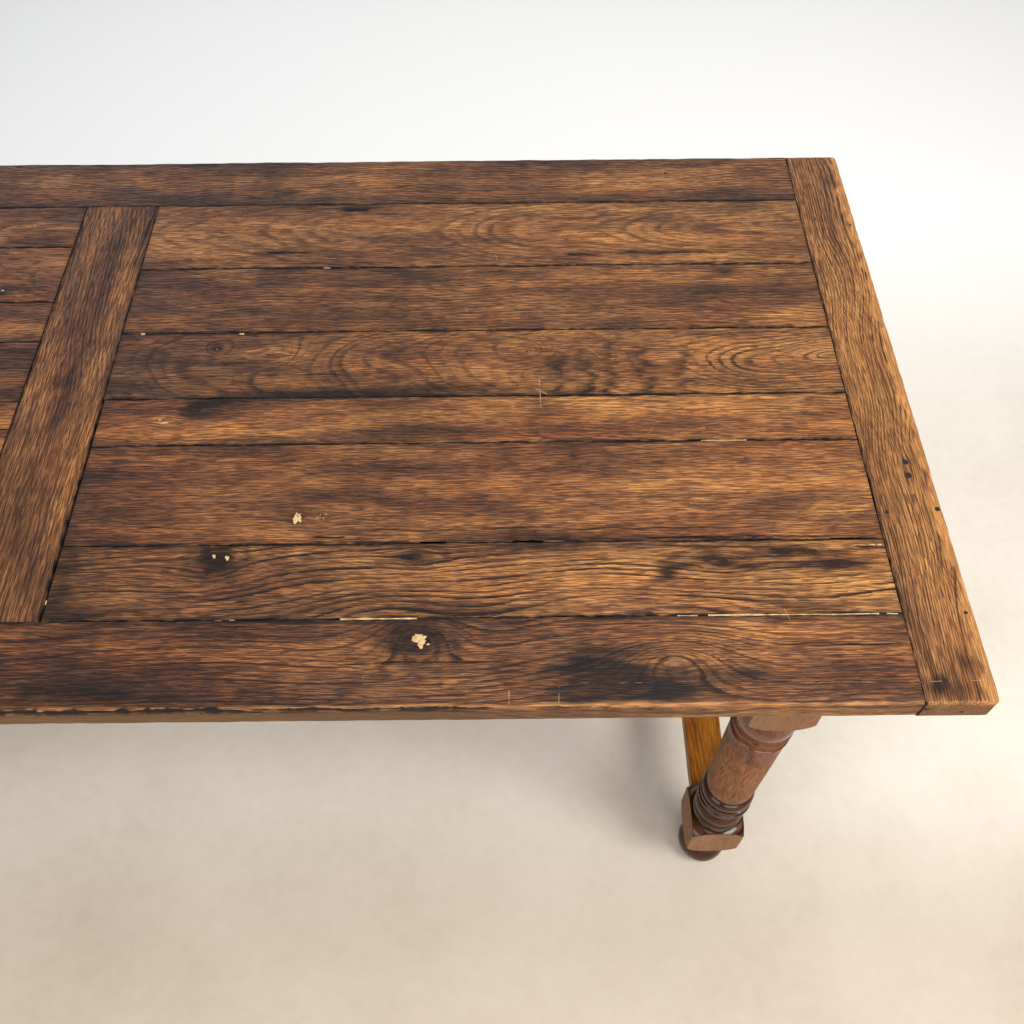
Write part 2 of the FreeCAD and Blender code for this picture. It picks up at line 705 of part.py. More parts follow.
def make_apron_pegs():
    """Pegs through the apron tenons, driven from the outer faces of the legs."""
    pegs = []
    for number, height in enumerate(APRON_PEG_HEIGHTS, start=1):
        inset = f"({HALF_LEG} - peg_inset)"
        face = f"({HALF_LEG} + peg_proud)"
        pegs.append(make_peg(
            f"front_peg_{number}", "apron_peg_length",
            f"{LEG_X} - {inset}", f"{LEG_Y} - {face}", height, POINT_TO_BACK,
        ))
        pegs.append(make_peg(
            f"side_peg_{number}", "apron_peg_length",
            f"{LEG_X} + {face}", f"{LEG_Y} + {inset}", height, POINT_TO_LEFT,
        ))
    return four_corners("apron_pegs", pegs)


def make_stretcher_pegs():
    """Pegs through the tenons of the end stretchers."""
    peg = make_peg(
        "low_peg", "stretcher_peg_length",
        f"{LEG_X} + {HALF_LEG} + peg_proud", f"{LEG_Y} + {HALF_LEG} - peg_inset",
        STRETCHER_MIDDLE, POINT_TO_LEFT,
    )
    return four_corners("stretcher_pegs", [peg])


def make_centre_pegs():
    """Pegs that hold the centre stretcher in the end stretchers."""
    pegs = []
    for number, sign in enumerate(("", "-"), start=1):
        pegs.append(make_peg(
            f"centre_peg_{number}", "centre_peg_length",
            f"{CENTRE_LENGTH} / 2 + peg_inset", f"{sign}centre_peg_spacing / 2",
            "stretcher_top - centre_peg_length",
        ))
    pegs += [mirrored(peg, f"{peg.Name}_left", ALONG_X) for peg in pegs]
    return grouped("centre_stretcher_pegs", pegs)


def make_block(name, x, y, turn=None):
    """Glue block with a bevelled outer corner, in the angle under the top."""
    body = new_body(name)
    end = new_sketch(body, f"{name}_end", "YZ_Plane")
    outline(end, [
        ("0", "0"), ("0", "-block_side"), ("block_side - block_bevel", "-block_side"),
        ("block_side", "block_bevel - block_side"), ("block_side", "0"),
    ])
    extrude(body, "Pad", end, "block_length", side="Symmetric")
    seat(body, x, y, LEG_HEIGHT, turn)
    return body


def make_glue_blocks():
    """Blocks along the inner faces of the aprons and along both faces of the bearer."""
    front = []
    for number, share in enumerate(LONG_BLOCK_SHARES, start=1):
        line = f"front_overhang + apron_setback + apron_thickness - {HALF_DEPTH}"
        front.append(make_block(f"front_block_{number}", f"{share} * {LONG_APRON}", line))
    blocks = front + [mirrored(block, f"{block.Name}_behind", ALONG_Y) for block in front]
    right = []
    for number, share in enumerate(SHORT_BLOCK_SHARES, start=1):
        line = f"{HALF_LENGTH} - end_overhang - apron_setback - apron_thickness"
        place = f"{share} * {SHORT_APRON}"
        right.append(make_block(f"end_block_{number}", line, place, TURN_TO_DEPTH))
    for number, share in enumerate(BEARER_BLOCK_SHARES, start=1):
        place = f"{share} * {SHORT_APRON}"
        right.append(make_block(f"bearer_block_{number}", "-bearer_width / 2", place, TURN_TO_DEPTH))
    blocks += right + [mirrored(block, f"{block.Name}_left", ALONG_X) for block in right]
    return grouped("glue_blocks", blocks)


def make_table():
    """Build every piece and return the ones that go out as files."""
    pieces = [
        make_rail("front_rail", "front_rail_width", True),
        make_rail("back_rail", "back_rail_width", False),
    ]
    right_end = make_end_board()
    pieces += [right_end, mirrored(right_end, "left_end_board", ALONG_X), make_cross_rail()]
    pieces += make_planks("right", RIGHT_PLANK_SHARES, "")
    pieces += make_planks("left", LEFT_PLANK_SHARES, "-")
    front_right = make_leg()
    front_left = mirrored(front_right, "front_left_leg", ALONG_X)
    pieces += [front_right, front_left]
    pieces.append(mirrored(front_right, "back_right_leg", ALONG_Y))
    pieces.append(mirrored(front_left, "back_left_leg", ALONG_Y))
    front = make_front_apron()
    right = make_right_apron()
    pieces += [front, mirrored(front, "back_apron", ALONG_Y)]
    pieces += [right, mirrored(right, "left_apron", ALONG_X), make_bearer()]
    stretcher = make_right_stretcher()
    pieces += [stretcher, mirrored(stretcher, "left_stretcher", ALONG_X), make_centre_stretcher()]
    pieces += [make_apron_pegs(), make_stretcher_pegs(), make_centre_pegs()]
    pieces.append(make_glue_blocks())
    return pieces


def check_document():
    """Stop if a feature failed, or if a cut took nothing away."""
    for thing in doc.Objects:
        if "Invalid" in thing.State or "Error" in thing.State:
            raise RuntimeError(f"{thing.Label} failed: {thing.State}")
        if thing.TypeId in ("PartDesign::Pocket", "PartDesign::Groove"):
            before = thing.BaseFeature.Shape.Volume
            if not thing.Shape.Volume < before - NEAR:
                raise RuntimeError(f"{thing.Label} cuts nothing")


def write_pieces(pieces):
    """Write each piece to its own file, once its shape has been looked at."""
    for piece in pieces:
        shape = piece.Shape
        if shape.isNull() or not shape.isValid() or not shape.Solids:
            raise RuntimeError(f"{piece.Label} has no sound shape")
    for piece in pieces:
        piece.Shape.exportStep(f"parts/{piece.Label}.step")
        print(piece.Label, len(piece.Shape.Solids), round(piece.Shape.Volume / 1000))


table_pieces = make_table()
doc.recompute()
check_document()
write_pieces(table_pieces)
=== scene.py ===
"""Looks of the farmhouse dining table.

Old oak boards make the framed top, four turned legs carry it, and aprons and a low
stretcher frame join the legs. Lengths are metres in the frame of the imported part: +X along
the top to the right, +Y to the back, +Z up, with the origin on the floor. Only the rows of
marks, turnings, strips and patches, and the lines of the seams, are in millimetres.
"""

import logging
import math
from collections.abc import Iterator
from dataclasses import dataclass
from enum import Enum
from typing import ClassVar, Self

import bmesh
import bpy
import numpy as np
from mathutils import Matrix, Vector


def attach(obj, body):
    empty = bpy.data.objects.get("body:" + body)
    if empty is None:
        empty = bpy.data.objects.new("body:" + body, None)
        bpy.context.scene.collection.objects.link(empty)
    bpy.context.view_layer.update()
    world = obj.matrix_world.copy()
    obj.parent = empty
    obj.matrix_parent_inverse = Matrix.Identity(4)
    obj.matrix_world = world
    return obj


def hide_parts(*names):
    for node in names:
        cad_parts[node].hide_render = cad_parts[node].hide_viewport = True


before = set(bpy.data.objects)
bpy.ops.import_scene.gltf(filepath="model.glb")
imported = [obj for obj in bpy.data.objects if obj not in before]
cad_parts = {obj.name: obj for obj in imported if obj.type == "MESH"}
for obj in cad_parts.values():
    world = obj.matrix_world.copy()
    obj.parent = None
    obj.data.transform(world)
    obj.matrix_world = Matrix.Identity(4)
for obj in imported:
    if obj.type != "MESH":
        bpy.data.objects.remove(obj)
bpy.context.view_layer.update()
LOG = logging.getLogger("dining_table")

Array = np.ndarray
Tint = tuple[int, int, int]
Colour = tuple[float, float, float, float]
Pair = tuple[float, float]
Triple = tuple[float, float, float]
Faces = list[list[int]]
Plugs = list[tuple[Vector, Vector]]
Inputs = dict[int | str, object]

TOP_FACE = 0.760
TOP_THICK = 0.032
UNDER_TOP = TOP_FACE - TOP_THICK
HALF_LENGTH = 1.062
HALF_DEPTH = 0.444
LEG_X = 0.8755
LEG_Y = 0.3695
LEG_HALF = 0.040
SHARP = 0.0015
CREASE = math.radians(38)
SAME_PLACE = 1e-6


def paint(tint: Tint) -> Colour:
    """Turn a screen colour into the linear colour that the shaders take.

    Args:
        tint: red, green and blue, 0 to 255.

    Returns:
        The linear colour with full opacity.
    """
    shares = [part / 255 for part in tint]
    linear = [share / 12.92 if share <= 0.04045 else ((share + 0.055) / 1.055) ** 2.4 for share in shares]
    return (linear[0], linear[1], linear[2], 1.0)


def ease(low: float, high: float, value: Array) -> Array:
    """Rise smoothly from 0 at low to 1 at high."""
    share = np.clip((value - low) / (high - low), 0.0, 1.0)
    return share * share * (3 - 2 * share)


def rounding(radius: float, off: Array) -> Array:
    """Say how far a rounded edge falls back at each distance from its end."""
    return radius - np.sqrt(np.clip(radius**2 - np.clip(radius - off, 0, None) ** 2, 0, None))


class Wander:
    """Smooth, seeded variation over one or two directions, made of a few waves."""

    WAVES: ClassVar[int] = 9

    def __init__(self, seed: int, length: float, across: float = math.inf) -> None:
        """Choose the waves.

        Args:
            seed: number that fixes the variation.
            length: typical wavelength along the grain.
            across: typical wavelength across the grain.
        """
        dice = np.random.default_rng(seed)
        self.along = dice.normal(0, 1, self.WAVES) * math.tau / length
        self.across = dice.normal(0, 1, self.WAVES) * math.tau / across
        self.phase = dice.uniform(0, math.tau, self.WAVES)

    def __call__(self, u: Array, v: Array | float = 0.0) -> Array:
        """Give the variation, mostly within -1 and 1, at places along and across."""
        waves = (np.sin(a * u + b * v + phase) for a, b, phase in zip(self.along, self.across, self.phase))
        return sum(waves) / math.sqrt(self.WAVES / 2)


class Slot(Enum):
    """Material slots of the record."""

    TOP = "top_oak"
    LEG = "leg_oak"
    APRON = "apron_oak"
    STRETCHER = "stretcher_oak"
    PEG = "peg_oak"


class Value:
    """An output of a material's node that sums can be made with, as with a number."""

    def __init__(self, tree: "Tree", socket: bpy.types.NodeSocket) -> None:
        """Keep the output and its tree."""
        self.tree = tree
        self.socket = socket

    def __add__(self, other: object) -> "Value":
        """Add a number or value."""
        return self.tree.math("ADD", self, other)

    def __sub__(self, other: object) -> "Value":
        """Take a number or value away."""
        return self.tree.math("SUBTRACT", self, other)

    def __rsub__(self, other: float) -> "Value":
        """Take this value away from a number."""
        return self.tree.math("SUBTRACT", other, self)

    def __mul__(self, other: object) -> "Value":
        """Multiply by a number or value."""
        return self.tree.math("MULTIPLY", self, other)

    def held(self) -> "Value":
        """Hold the result of the sum between 0 and 1."""
        self.socket.node.use_clamp = True
        return self


class Graph:
    """A node tree, built one node at a time."""

    def __init__(self, tree: bpy.types.NodeTree) -> None:
        """Start with an empty tree."""
        self.tree = tree
        self.tree.nodes.clear()

    def put(self, socket: bpy.types.NodeSocket, value: object) -> None:
        """Set an input to a number or colour, or link an output to it.

        Args:
            socket: the input.
            value: what goes in.
        """
        source = value.socket if isinstance(value, Value) else value
        if isinstance(source, bpy.types.NodeSocket):
            self.tree.links.new(source, socket)
        else:
            socket.default_value = source

    def add(self, kind: str, inputs: Inputs, **settings: object) -> bpy.types.Node:
        """Add a node.

        Args:
            kind: its type.
            inputs: what goes into its inputs, by number or name.
            settings: its other settings.

        Returns:
            The node.
        """
        node = self.tree.nodes.new(kind)
        for key, value in settings.items():
            setattr(node, key, value)
        for key, value in inputs.items():
            self.put(node.inputs[key], value)
        return node


class Tree(Graph):
    """A material's node tree, with a step for each kind of sum or pattern."""

    def __init__(self, name: str) -> None:
        """Start a material with a bare surface.

        Args:
            name: its name.
        """
        self.material = bpy.data.materials.new(name)
        self.material.use_nodes = True
        super().__init__(self.material.node_tree)
        self.surface = self.add("ShaderNodeBsdfPrincipled", {})
        self.add("ShaderNodeOutputMaterial", {0: self.surface.outputs[0]})

    def value(self, output: int | str, kind: str, inputs: Inputs, **settings: object) -> Value:
        """Add a node and give one of its outputs."""
        return Value(self, self.add(kind, inputs, **settings).outputs[output])

    def attribute(self, name: str, output: str = "Fac") -> Value:
        """Read one of the mesh's attributes."""
        return self.value(output, "ShaderNodeAttribute", {}, attribute_name=name)

    def place(self) -> Value:
        """Read the place in the table's own frame."""
        return self.value("Object", "ShaderNodeTexCoord", {})

    def axis(self, number: int, vector: Value) -> Value:
        """Take one number out of a vector."""
        return self.value(number, "ShaderNodeSeparateXYZ", {0: vector})

    def math(self, kind: str, first: object, second: object = 0.0) -> Value:
        """Work out one sum of two numbers or values."""
        return self.value(0, "ShaderNodeMath", {0: first, 1: second}, operation=kind)

    def noise(self, vector: Value, factors: Triple, detail: float = 2.0, rough: float = 0.5) -> Value:
        """Sample noise, which is about 0.5 in the middle.

        Args:
            vector: where it is sampled.
            factors: how many features a metre has along each axis.
            detail: octaves.
            rough: strength of the finer octaves.

        Returns:
            The noise.
        """
        scaled = self.value(0, "ShaderNodeVectorMath", {0: vector, 1: factors}, operation="MULTIPLY")
        inputs = {"Vector": scaled, "Scale": 1.0, "Detail": detail, "Roughness": rough}
        return self.value(0, "ShaderNodeTexNoise", inputs)

    def span(self, value: Value, low: object, high: float, start: float = 0.0, end: float = 1.0) -> Value:
        """Map the range from low to high smoothly to the one from start to end."""
        inputs = dict(enumerate((value, low, high, start, end)))
        return self.value(0, "ShaderNodeMapRange", inputs, interpolation_type="SMOOTHSTEP")

    def ramp(self, value: Value, stops: tuple[tuple[float, Tint], ...]) -> Value:
        """Look a value up in a row of colours.

        Args:
            value: the value, 0 to 1.
            stops: the place and the colour of each stop.

        Returns:
            The colour.
        """
        node = self.add("ShaderNodeValToRGB", {0: value})
        elements = node.color_ramp.elements
        for element, (position, tint) in zip(elements, (stops[0], stops[-1])):
            element.position, element.color = position, paint(tint)
        for position, tint in stops[1:-1]:
            elements.new(position).color = paint(tint)
        return Value(self, node.outputs[0])

    def mix(self, share: object, first: object, second: object, blend: str = "MIX") -> Value:
        """Mix a second colour into a first one by a share."""
        inputs = {0: share, 6: first, 7: second}
        return self.value(2, "ShaderNodeMix", inputs, data_type="RGBA", blend_type=blend)

    def finish(
        self, colour: Value, rough: object, height: Value | None = None, depth: float = 0.0,
    ) -> bpy.types.Material:
        """Give the surface its colour, roughness and relief.

        Args:
            colour: the colour.
            rough: the roughness.
            height: the relief as a share of its depth, or None on a flat surface.
            depth: the depth in metres.

        Returns:
            The material.
        """
        self.put(self.surface.inputs["Base Color"], colour)
        self.put(self.surface.inputs["Roughness"], rough)
        if height is not None:
            bump = self.add("ShaderNodeBump", {"Strength": 1.0, "Distance": depth, "Height": height})
            self.put(self.surface.inputs["Normal"], bump.outputs[0])
        return self.material


@dataclass(frozen=True)
class OakFinish:
    """Stained and waxed oak: growth rings, pores, streaks, clouds of stain, wear and dirt, and the painted
    light and shade that the pieces' tone, stain, grime and bare sides carry.
    """

    PORE: ClassVar[Tint] = (104, 78, 68)
    GRIME_AND_SHADE: ClassVar[Tint] = (15, 11, 10)
    LATE: ClassVar[Tint] = (76, 58, 54)

    name: str
    dark: Tint
    deep: Tint
    middle: Tint
    light: Tint
    worn: Tint
    soot: Tint = (72, 53, 50)
    flush: Tint = (250, 214, 206)
    raw_and_painted_light: Tint = (95, 69, 38)
    pore: float = 0.7
    ring_depth: float = 1.0
    cloud: float = 1.0
    streak: float = 1.0
    rough: float = 0.46
    polish: float = 0.2
    relief: float = 0.0004
    gleam: float = 0.3
    dull: float = 0.3
    from_mesh: bool = True

    def material(self) -> bpy.types.Material:
        """Build the material: clouds and streaks first, then rings, pores, stain, wear and grime, with
        painted light and shade in the tone, stain, bare sides and grime.

        Returns:
            The material.
        """
        tree = Tree(self.name)
        grain, ring = self.directions(tree)
        broad = tree.noise(grain, (3.0, 20, 20), 2.5, 0.55)
        blot = tree.noise(grain, (12, 36, 36), 3.0, 0.62)
        wisp = tree.noise(grain, (7, 75, 75), 2.5, 0.6)
        streak = tree.noise(grain, (44, 740, 740), 2.0, 0.6)
        fibre = tree.noise(grain, (60, 1500, 1500), 1.0, 0.6)
        early = self.early_wood(tree, grain, ring, wisp, streak)
        # The tone holds painted light and shade as well as the wood's own tone.
        shade = tree.attribute("tone") + 0.58
        lively = 1.0 - tree.attribute("still")
        for part, weight, most in (
            (broad, 1.2 * self.cloud, 1.0), (blot, 0.7 * self.cloud, 1.0), (wisp, 0.24 * self.streak, 0.1),
            (streak, 1.15 * self.streak, 0.06), (fibre, 0.9, 0.06),
        ):
            shade = shade + tree.math("MINIMUM", part - 0.5, most) * (lively * weight)
        stops = ((0.0, self.dark), (0.28, self.deep), (0.56, self.middle), (1.0, self.light))
        colour = tree.ramp(shade.held(), stops)
        warm = (tree.attribute("red") + (tree.noise(grain, (5, 13, 13)) - 0.5) * 1.6).held()
        rings = (early * (tree.attribute("figure") * self.ring_depth)).held()
        marks = self.pores(tree, grain, early)
        ragged = (streak + wisp - 1.0) * 1.2
        # The stain holds real stains and also painted shade on the legs' left sides.
        stain_and_shade = tree.attribute("stain_and_shade")
        stain_and_shade = (stain_and_shade + ragged * (stain_and_shade * 2.5).held()).held()
        for share, tint in (
            (warm, self.flush), (rings, self.LATE), (marks * self.pore, self.PORE), (stain_and_shade, self.soot),
        ):
            colour = tree.mix(share, colour, paint(tint), "MULTIPLY")
        wear = tree.attribute("wear")
        worn = tree.mix(marks * 0.5, paint(self.worn), paint(self.deep))
        colour = tree.mix(((wear + ragged * 0.5) * wear * 1.2).held(), colour, worn)
        # Bare wood, and painted light: the stretchers' greyed sides are a painted reflection of the floor,
        # and the legs' greyer left block faces are painted shade.
        bare_and_painted_light = tree.mix((streak + (broad - 0.5)).held(), paint(self.deep), paint(self.raw_and_painted_light))
        colour = tree.mix(tree.attribute("raw_and_painted_light"), colour, tree.mix(0.5, bare_and_painted_light, paint(self.raw_and_painted_light)))
        # The grime holds dirt, and painted shade in the hollows of the legs' turnings.
        grime_and_shade = tree.attribute("grime_and_shade")
        rough = self.rough - tree.attribute("gloss") * self.polish
        for part, weight in ((marks, 0.16), (grime_and_shade, self.dull), (wisp, 0.16), (stain_and_shade, -0.05)):
            rough = rough + part * weight
        tree.surface.inputs["Specular IOR Level"].default_value = self.gleam
        height = streak * 0.35 - marks * 0.8 - early * 0.35 + wisp * 0.9
        colour = tree.mix(grime_and_shade, colour, paint(self.GRIME_AND_SHADE))
        return tree.finish(colour, tree.math("MINIMUM", rough, 0.95), height, self.relief)

    def directions(self, tree: Tree) -> tuple[Value, Value]:
        """Find the place in the log and the count of rings.

        Args:
            tree: the material's tree.

        Returns:
            The vector along, across and into the log, and the rings counted from the pith.
        """
        if self.from_mesh:
            return tree.attribute("grain", "Vector"), tree.attribute("ring")
        place = tree.place()
        return place, tree.noise(place, (1.5, 9, 9), 1.0) * 9.0

    def early_wood(self, tree: Tree, grain: Value, ring: Value, wisp: Value, streak: Value) -> Value:
        """Find the open, dark wood at the start of each ring.

        Args:
            tree: the material's tree.
            grain: place in the log.
            ring: rings counted from the pith.
            wisp: middling noise that sways the rings.
            streak: fine noise that frays them.

        Returns:
            1 in the open wood and 0 in the dense wood, with some rings fainter than others.
        """
        turns = tree.math("FRACT", ring + (wisp * 0.9 + streak * 0.55))
        flat = tree.value(0, "ShaderNodeCombineXYZ", {0: tree.axis(0, grain) * 4.0, 1: ring * 0.7})
        years = tree.span(tree.noise(flat, (1.0, 1.0, 1.0), 2.0, 0.6), 0.36, 0.64)
        opening = tree.span(turns, 0.0, 0.1) * tree.span(turns, years * 0.5 + 0.3, 0.12)
        return opening * (years * 0.65 + 0.35) * tree.span(streak * 0.6 + wisp * 0.4, 0.38, 0.54, 0.25, 1.0)

    def pores(self, tree: Tree, grain: Value, early: Value) -> Value:
        """Scatter the pores, which are dark dashes along the grain, closer together in the open wood.

        Args:
            tree: the material's tree.
            grain: place in the log.
            early: the open wood.

        Returns:
            1 in a pore and 0 beside it.
        """
        dashes = []
        for factors, low in (((55, 850, 850), 0.57), ((20, 1000, 1000), 0.58)):
            dashes.append(tree.span(tree.noise(grain, factors, 0.0) + early * 0.1, low, low + 0.05))
        return tree.math("MAXIMUM", *dashes)


@dataclass(frozen=True)
class PlainFinish:
    """A quiet finish with fine mottling: filler, dirt in the seams, bored holes."""

    name: str
    colour: Tint
    other: Tint
    rough: float
    scale: float
    relief: float = 0.0003

    def material(self) -> bpy.types.Material:
        """Build the material.

        Returns:
            The material.
        """
        tree = Tree(self.name)
        place = tree.place()
        grit = tree.noise(place, (self.scale,) * 3, 3.0, 0.6)
        colour = tree.mix(tree.span(grit, 0.38, 0.68), paint(self.colour), paint(self.other))
        rough = tree.span(grit, 0.2, 0.8, self.rough - 0.12, self.rough + 0.08)
        return tree.finish(colour, rough, tree.noise(place, (self.scale * 3,) * 3), self.relief)


TOP_OAK = OakFinish(
    "waxed_top_oak", (42, 26, 20), (85, 53, 35), (138, 91, 54), (210, 149, 82), (192, 134, 74),
)
# The leg's raw tint colours the bare block faces; on the left faces more of it is mixed in as painted shade.
LEG_OAK = OakFinish(
    "turned_leg_oak", (56, 30, 14), (92, 56, 30), (134, 86, 46), (182, 130, 74), (196, 140, 88),
    soot=(218, 176, 126), pore=0.4, ring_depth=0.2, raw_and_painted_light=(128, 100, 74), cloud=0.3, streak=0.4, rough=0.58,
    polish=0.6, relief=0.00002, gleam=0.34, dull=0.0,
)
APRON_OAK = OakFinish(
    "apron_oak", (56, 37, 22), (98, 66, 38), (142, 98, 56), (190, 136, 80), (186, 130, 78),
    flush=(246, 216, 188), rough=0.54,
)
# The stretchers' raw tint is a painted reflection of the pale floor on their greyed sides.
STRETCHER_OAK = OakFinish(
    "stretcher_oak", (78, 42, 4), (128, 76, 8), (172, 108, 18), (212, 142, 38), (176, 124, 66),
    raw_and_painted_light=(146, 124, 92), rough=0.44, cloud=0.6, pore=0.4,
)
PEG_OAK = OakFinish(
    "peg_oak", (40, 24, 17), (66, 40, 27), (94, 58, 38), (128, 84, 54), (150, 100, 62), from_mesh=False,
)
BLOCK_OAK = OakFinish(
    "glue_block_oak", (62, 38, 25), (98, 66, 44), (136, 94, 60), (178, 128, 84), (176, 118, 74),
    rough=0.6, from_mesh=False,
)
FILLER = PlainFinish("cream_filler", (206, 174, 124), (176, 140, 92), 0.7, 260.0)
SEAM_DIRT = PlainFinish("seam_dirt", (16, 12, 10), (34, 25, 18), 0.9, 120.0)
SCRATCHED = PlainFinish("scratched_wax", (196, 158, 112), (150, 108, 68), 0.6, 300.0)
HOLE_DARK = PlainFinish("hole_dark", (20, 13, 10), (38, 24, 17), 0.85, 600.0)


def solid(name: str, places: Array, faces: Faces, values: dict[str, Array]) -> bpy.types.Object:
    """Make a closed piece from points and faces, smooth but for its sharp edges.

    Args:
        name: the piece's name.
        places: the points.
        faces: point numbers of each face.
        values: a number for each point by attribute, or a vector for its place in the log.

    Returns:
        The piece's object.
    """
    mesh = bpy.data.meshes.new(f"{name}_mesh")
    mesh.from_pydata(places.tolist(), [], faces)
    for key, data in values.items():
        kind, part = ("FLOAT_VECTOR", "vector") if key == "grain" else ("FLOAT", "value")
        layer = mesh.attributes.new(key, kind, "POINT")
        layer.data.foreach_set(part, np.ascontiguousarray(data, np.float32).ravel())
    work = bmesh.new()
    work.from_mesh(mesh)
    bmesh.ops.remove_doubles(work, verts=work.verts, dist=SAME_PLACE)
    bmesh.ops.dissolve_degenerate(work, edges=work.edges, dist=SAME_PLACE / 10)
    bmesh.ops.recalc_face_normals(work, faces=work.faces)
    for face in work.faces:
        face.smooth = True
    work.to_mesh(mesh)
    work.free()
    mesh.set_sharp_from_angle(angle=CREASE)
    return shown(name, mesh)


def shown(name: str, data: bpy.types.ID) -> bpy.types.Object:
    """Put something into the scene.

    Args:
        name: its name.
        data: a mesh, a light or a camera.

    Returns:
        Its object.
    """
    thing = bpy.data.objects.new(name, data)
    bpy.context.scene.collection.objects.link(thing)
    return thing


def shell(rows: int, columns: int) -> tuple[Array, Faces, Faces]:
    """Join rings of points into a tube.

    Args:
        rows: number of rings.
        columns: points of each ring.

    Returns:
        The point numbers by ring, the faces of the tube, and the faces that close its ends.
    """
    index = np.arange(rows * columns).reshape(rows, columns)
    turned = np.roll(index, -1, 1)
    quads = np.stack([index[:-1], turned[:-1], turned[1:], index[1:]], axis=-1)
    return index, quads.reshape(-1, 4).tolist(), [index[0].tolist(), index[-1][::-1].tolist()]


def dress(
    piece: bpy.types.Object, slot: Slot, material: bpy.types.Material | None = None, node: str = "",
) -> None:
    """Give a piece its finish and body, and put it in the place of its node.

    Args:
        piece: the piece.
        slot: its slot in the record; not used.
        material: its finish, or None where it has one.
        node: the node that it stands for, if any.
    """
    if material:
        piece.data.materials.append(material)
    if node:
        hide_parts(node)
    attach(piece, "root")
    LOG.info("%s: %d faces", piece.name, len(piece.data.polygons))


class Rows:
    """Something given by a row of numbers, of which the first ones are millimetres."""

    LENGTHS: ClassVar[int] = 4

    @classmethod
    def rows(cls, *table: tuple[float, ...]) -> tuple[Self, ...]:
        """Make one of each row, with its lengths in metres."""
        cut = cls.LENGTHS
        return tuple(cls(*(number / 1000 for number in row[:cut]), *row[cut:]) for row in table)


@dataclass(frozen=True)
class Knot(Rows):
    """A knot: the rings swell over it and the fibres run round it."""

    u: float
    v: float
    radius: float
    swell: float
    spread: float
    stretch: float
    dark: float = 0.8


@dataclass(frozen=True)
class Crack(Rows):
    """A drying crack along the grain."""

    LENGTHS = 6

    start: float
    end: float
    v: float
    width: float
    depth: float = 0.003
    drift: float = 0.0
    dark: float = 1.0

    def inside(self, fade: float, u: Array) -> Array:
        """Say whether places along the board are inside it, fading in and out at its ends."""
        fade = min(fade, 0.3 * (self.end - self.start))
        return ease(self.start, self.start + fade, u) * ease(self.end, self.end - fade, u)


@dataclass(frozen=True)
class Stain(Rows):
    """A dark patch, or a pale one where the amount is negative."""

    u: float
    v: float
    length: float
    width: float
    amount: float = 0.6

    def away(self, u: Array, v: Array) -> Array:
        """Give the square of the distance from its middle, 1 at its edge."""
        return ((u - self.u) / self.length) ** 2 + ((v - self.v) / self.width) ** 2


@dataclass(frozen=True)
class Arc(Rows):
    """A dark, jagged band across the grain, where rings come up through the face."""

    LENGTHS = 5

    u: float
    v: float
    reach: float
    width: float
    bend: float
    amount: float


@dataclass(frozen=True)
class Growth:
    """How a board was cut from its log: where the pith lies, how it leans, and its rings.

    A bulge is a place, a length and a height: there the log was thicker, so that its rings
    turn back across the board.
    """

    pith_across: float
    pith_depth: float
    lean_depth: float
    lean_across: float
    ring: float
    sway: float = 0.004
    bulges: tuple[Triple, ...] = ()

    def rings(self, u: Array, v: Array, w: Array, seed: int, knots: tuple[Knot, ...]) -> Array:
        """Count the rings from the pith.

        Args:
            u: places along the board.
            v: places across it, after the fibres went round its knots.
            w: places up from its face.
            seed: number that fixes its sway.
            knots: its knots.

        Returns:
            The number of rings at each place.
        """
        beside = v - self.pith_across - self.lean_across * u + self.sway * Wander(seed, 0.5, 0.4)(u, v)
        under = w + self.pith_depth + self.lean_depth * u + self.sway * Wander(seed + 1, 0.35, 0.25)(u, v)
        for place, length, height in self.bulges:
            under = under + height * np.exp(-(((u - place) / length) ** 2))
        for knot in knots:
            reach = knot.radius * knot.spread
            off = ((u - knot.u) / (reach * knot.stretch)) ** 2 + ((v - knot.v) / reach) ** 2
            under = under + knot.swell / (1 + off) ** 1.5
        return np.sqrt(beside**2 + under**2) / self.ring


@dataclass(frozen=True)
class Pose:
    """Where a board lies: its origin and the directions along and across it."""

    origin: Triple
    along: Triple = (1, 0, 0)
    across: Triple = (0, 1, 0)

    def world(self, *parts: Array) -> Array:
        """Turn places along, across and up from a board's face into places in the table's frame."""
        ways = (self.along, self.across, np.cross(self.along, self.across))
        return sum((part[:, None] * np.array(way) for part, way in zip(parts, ways)), np.array(self.origin))


ON_TOP = Pose((0.0, 0.0, TOP_FACE))
ON_TOP_ACROSS = Pose((0.0, 0.0, TOP_FACE), (0, 1, 0), (-1, 0, 0))


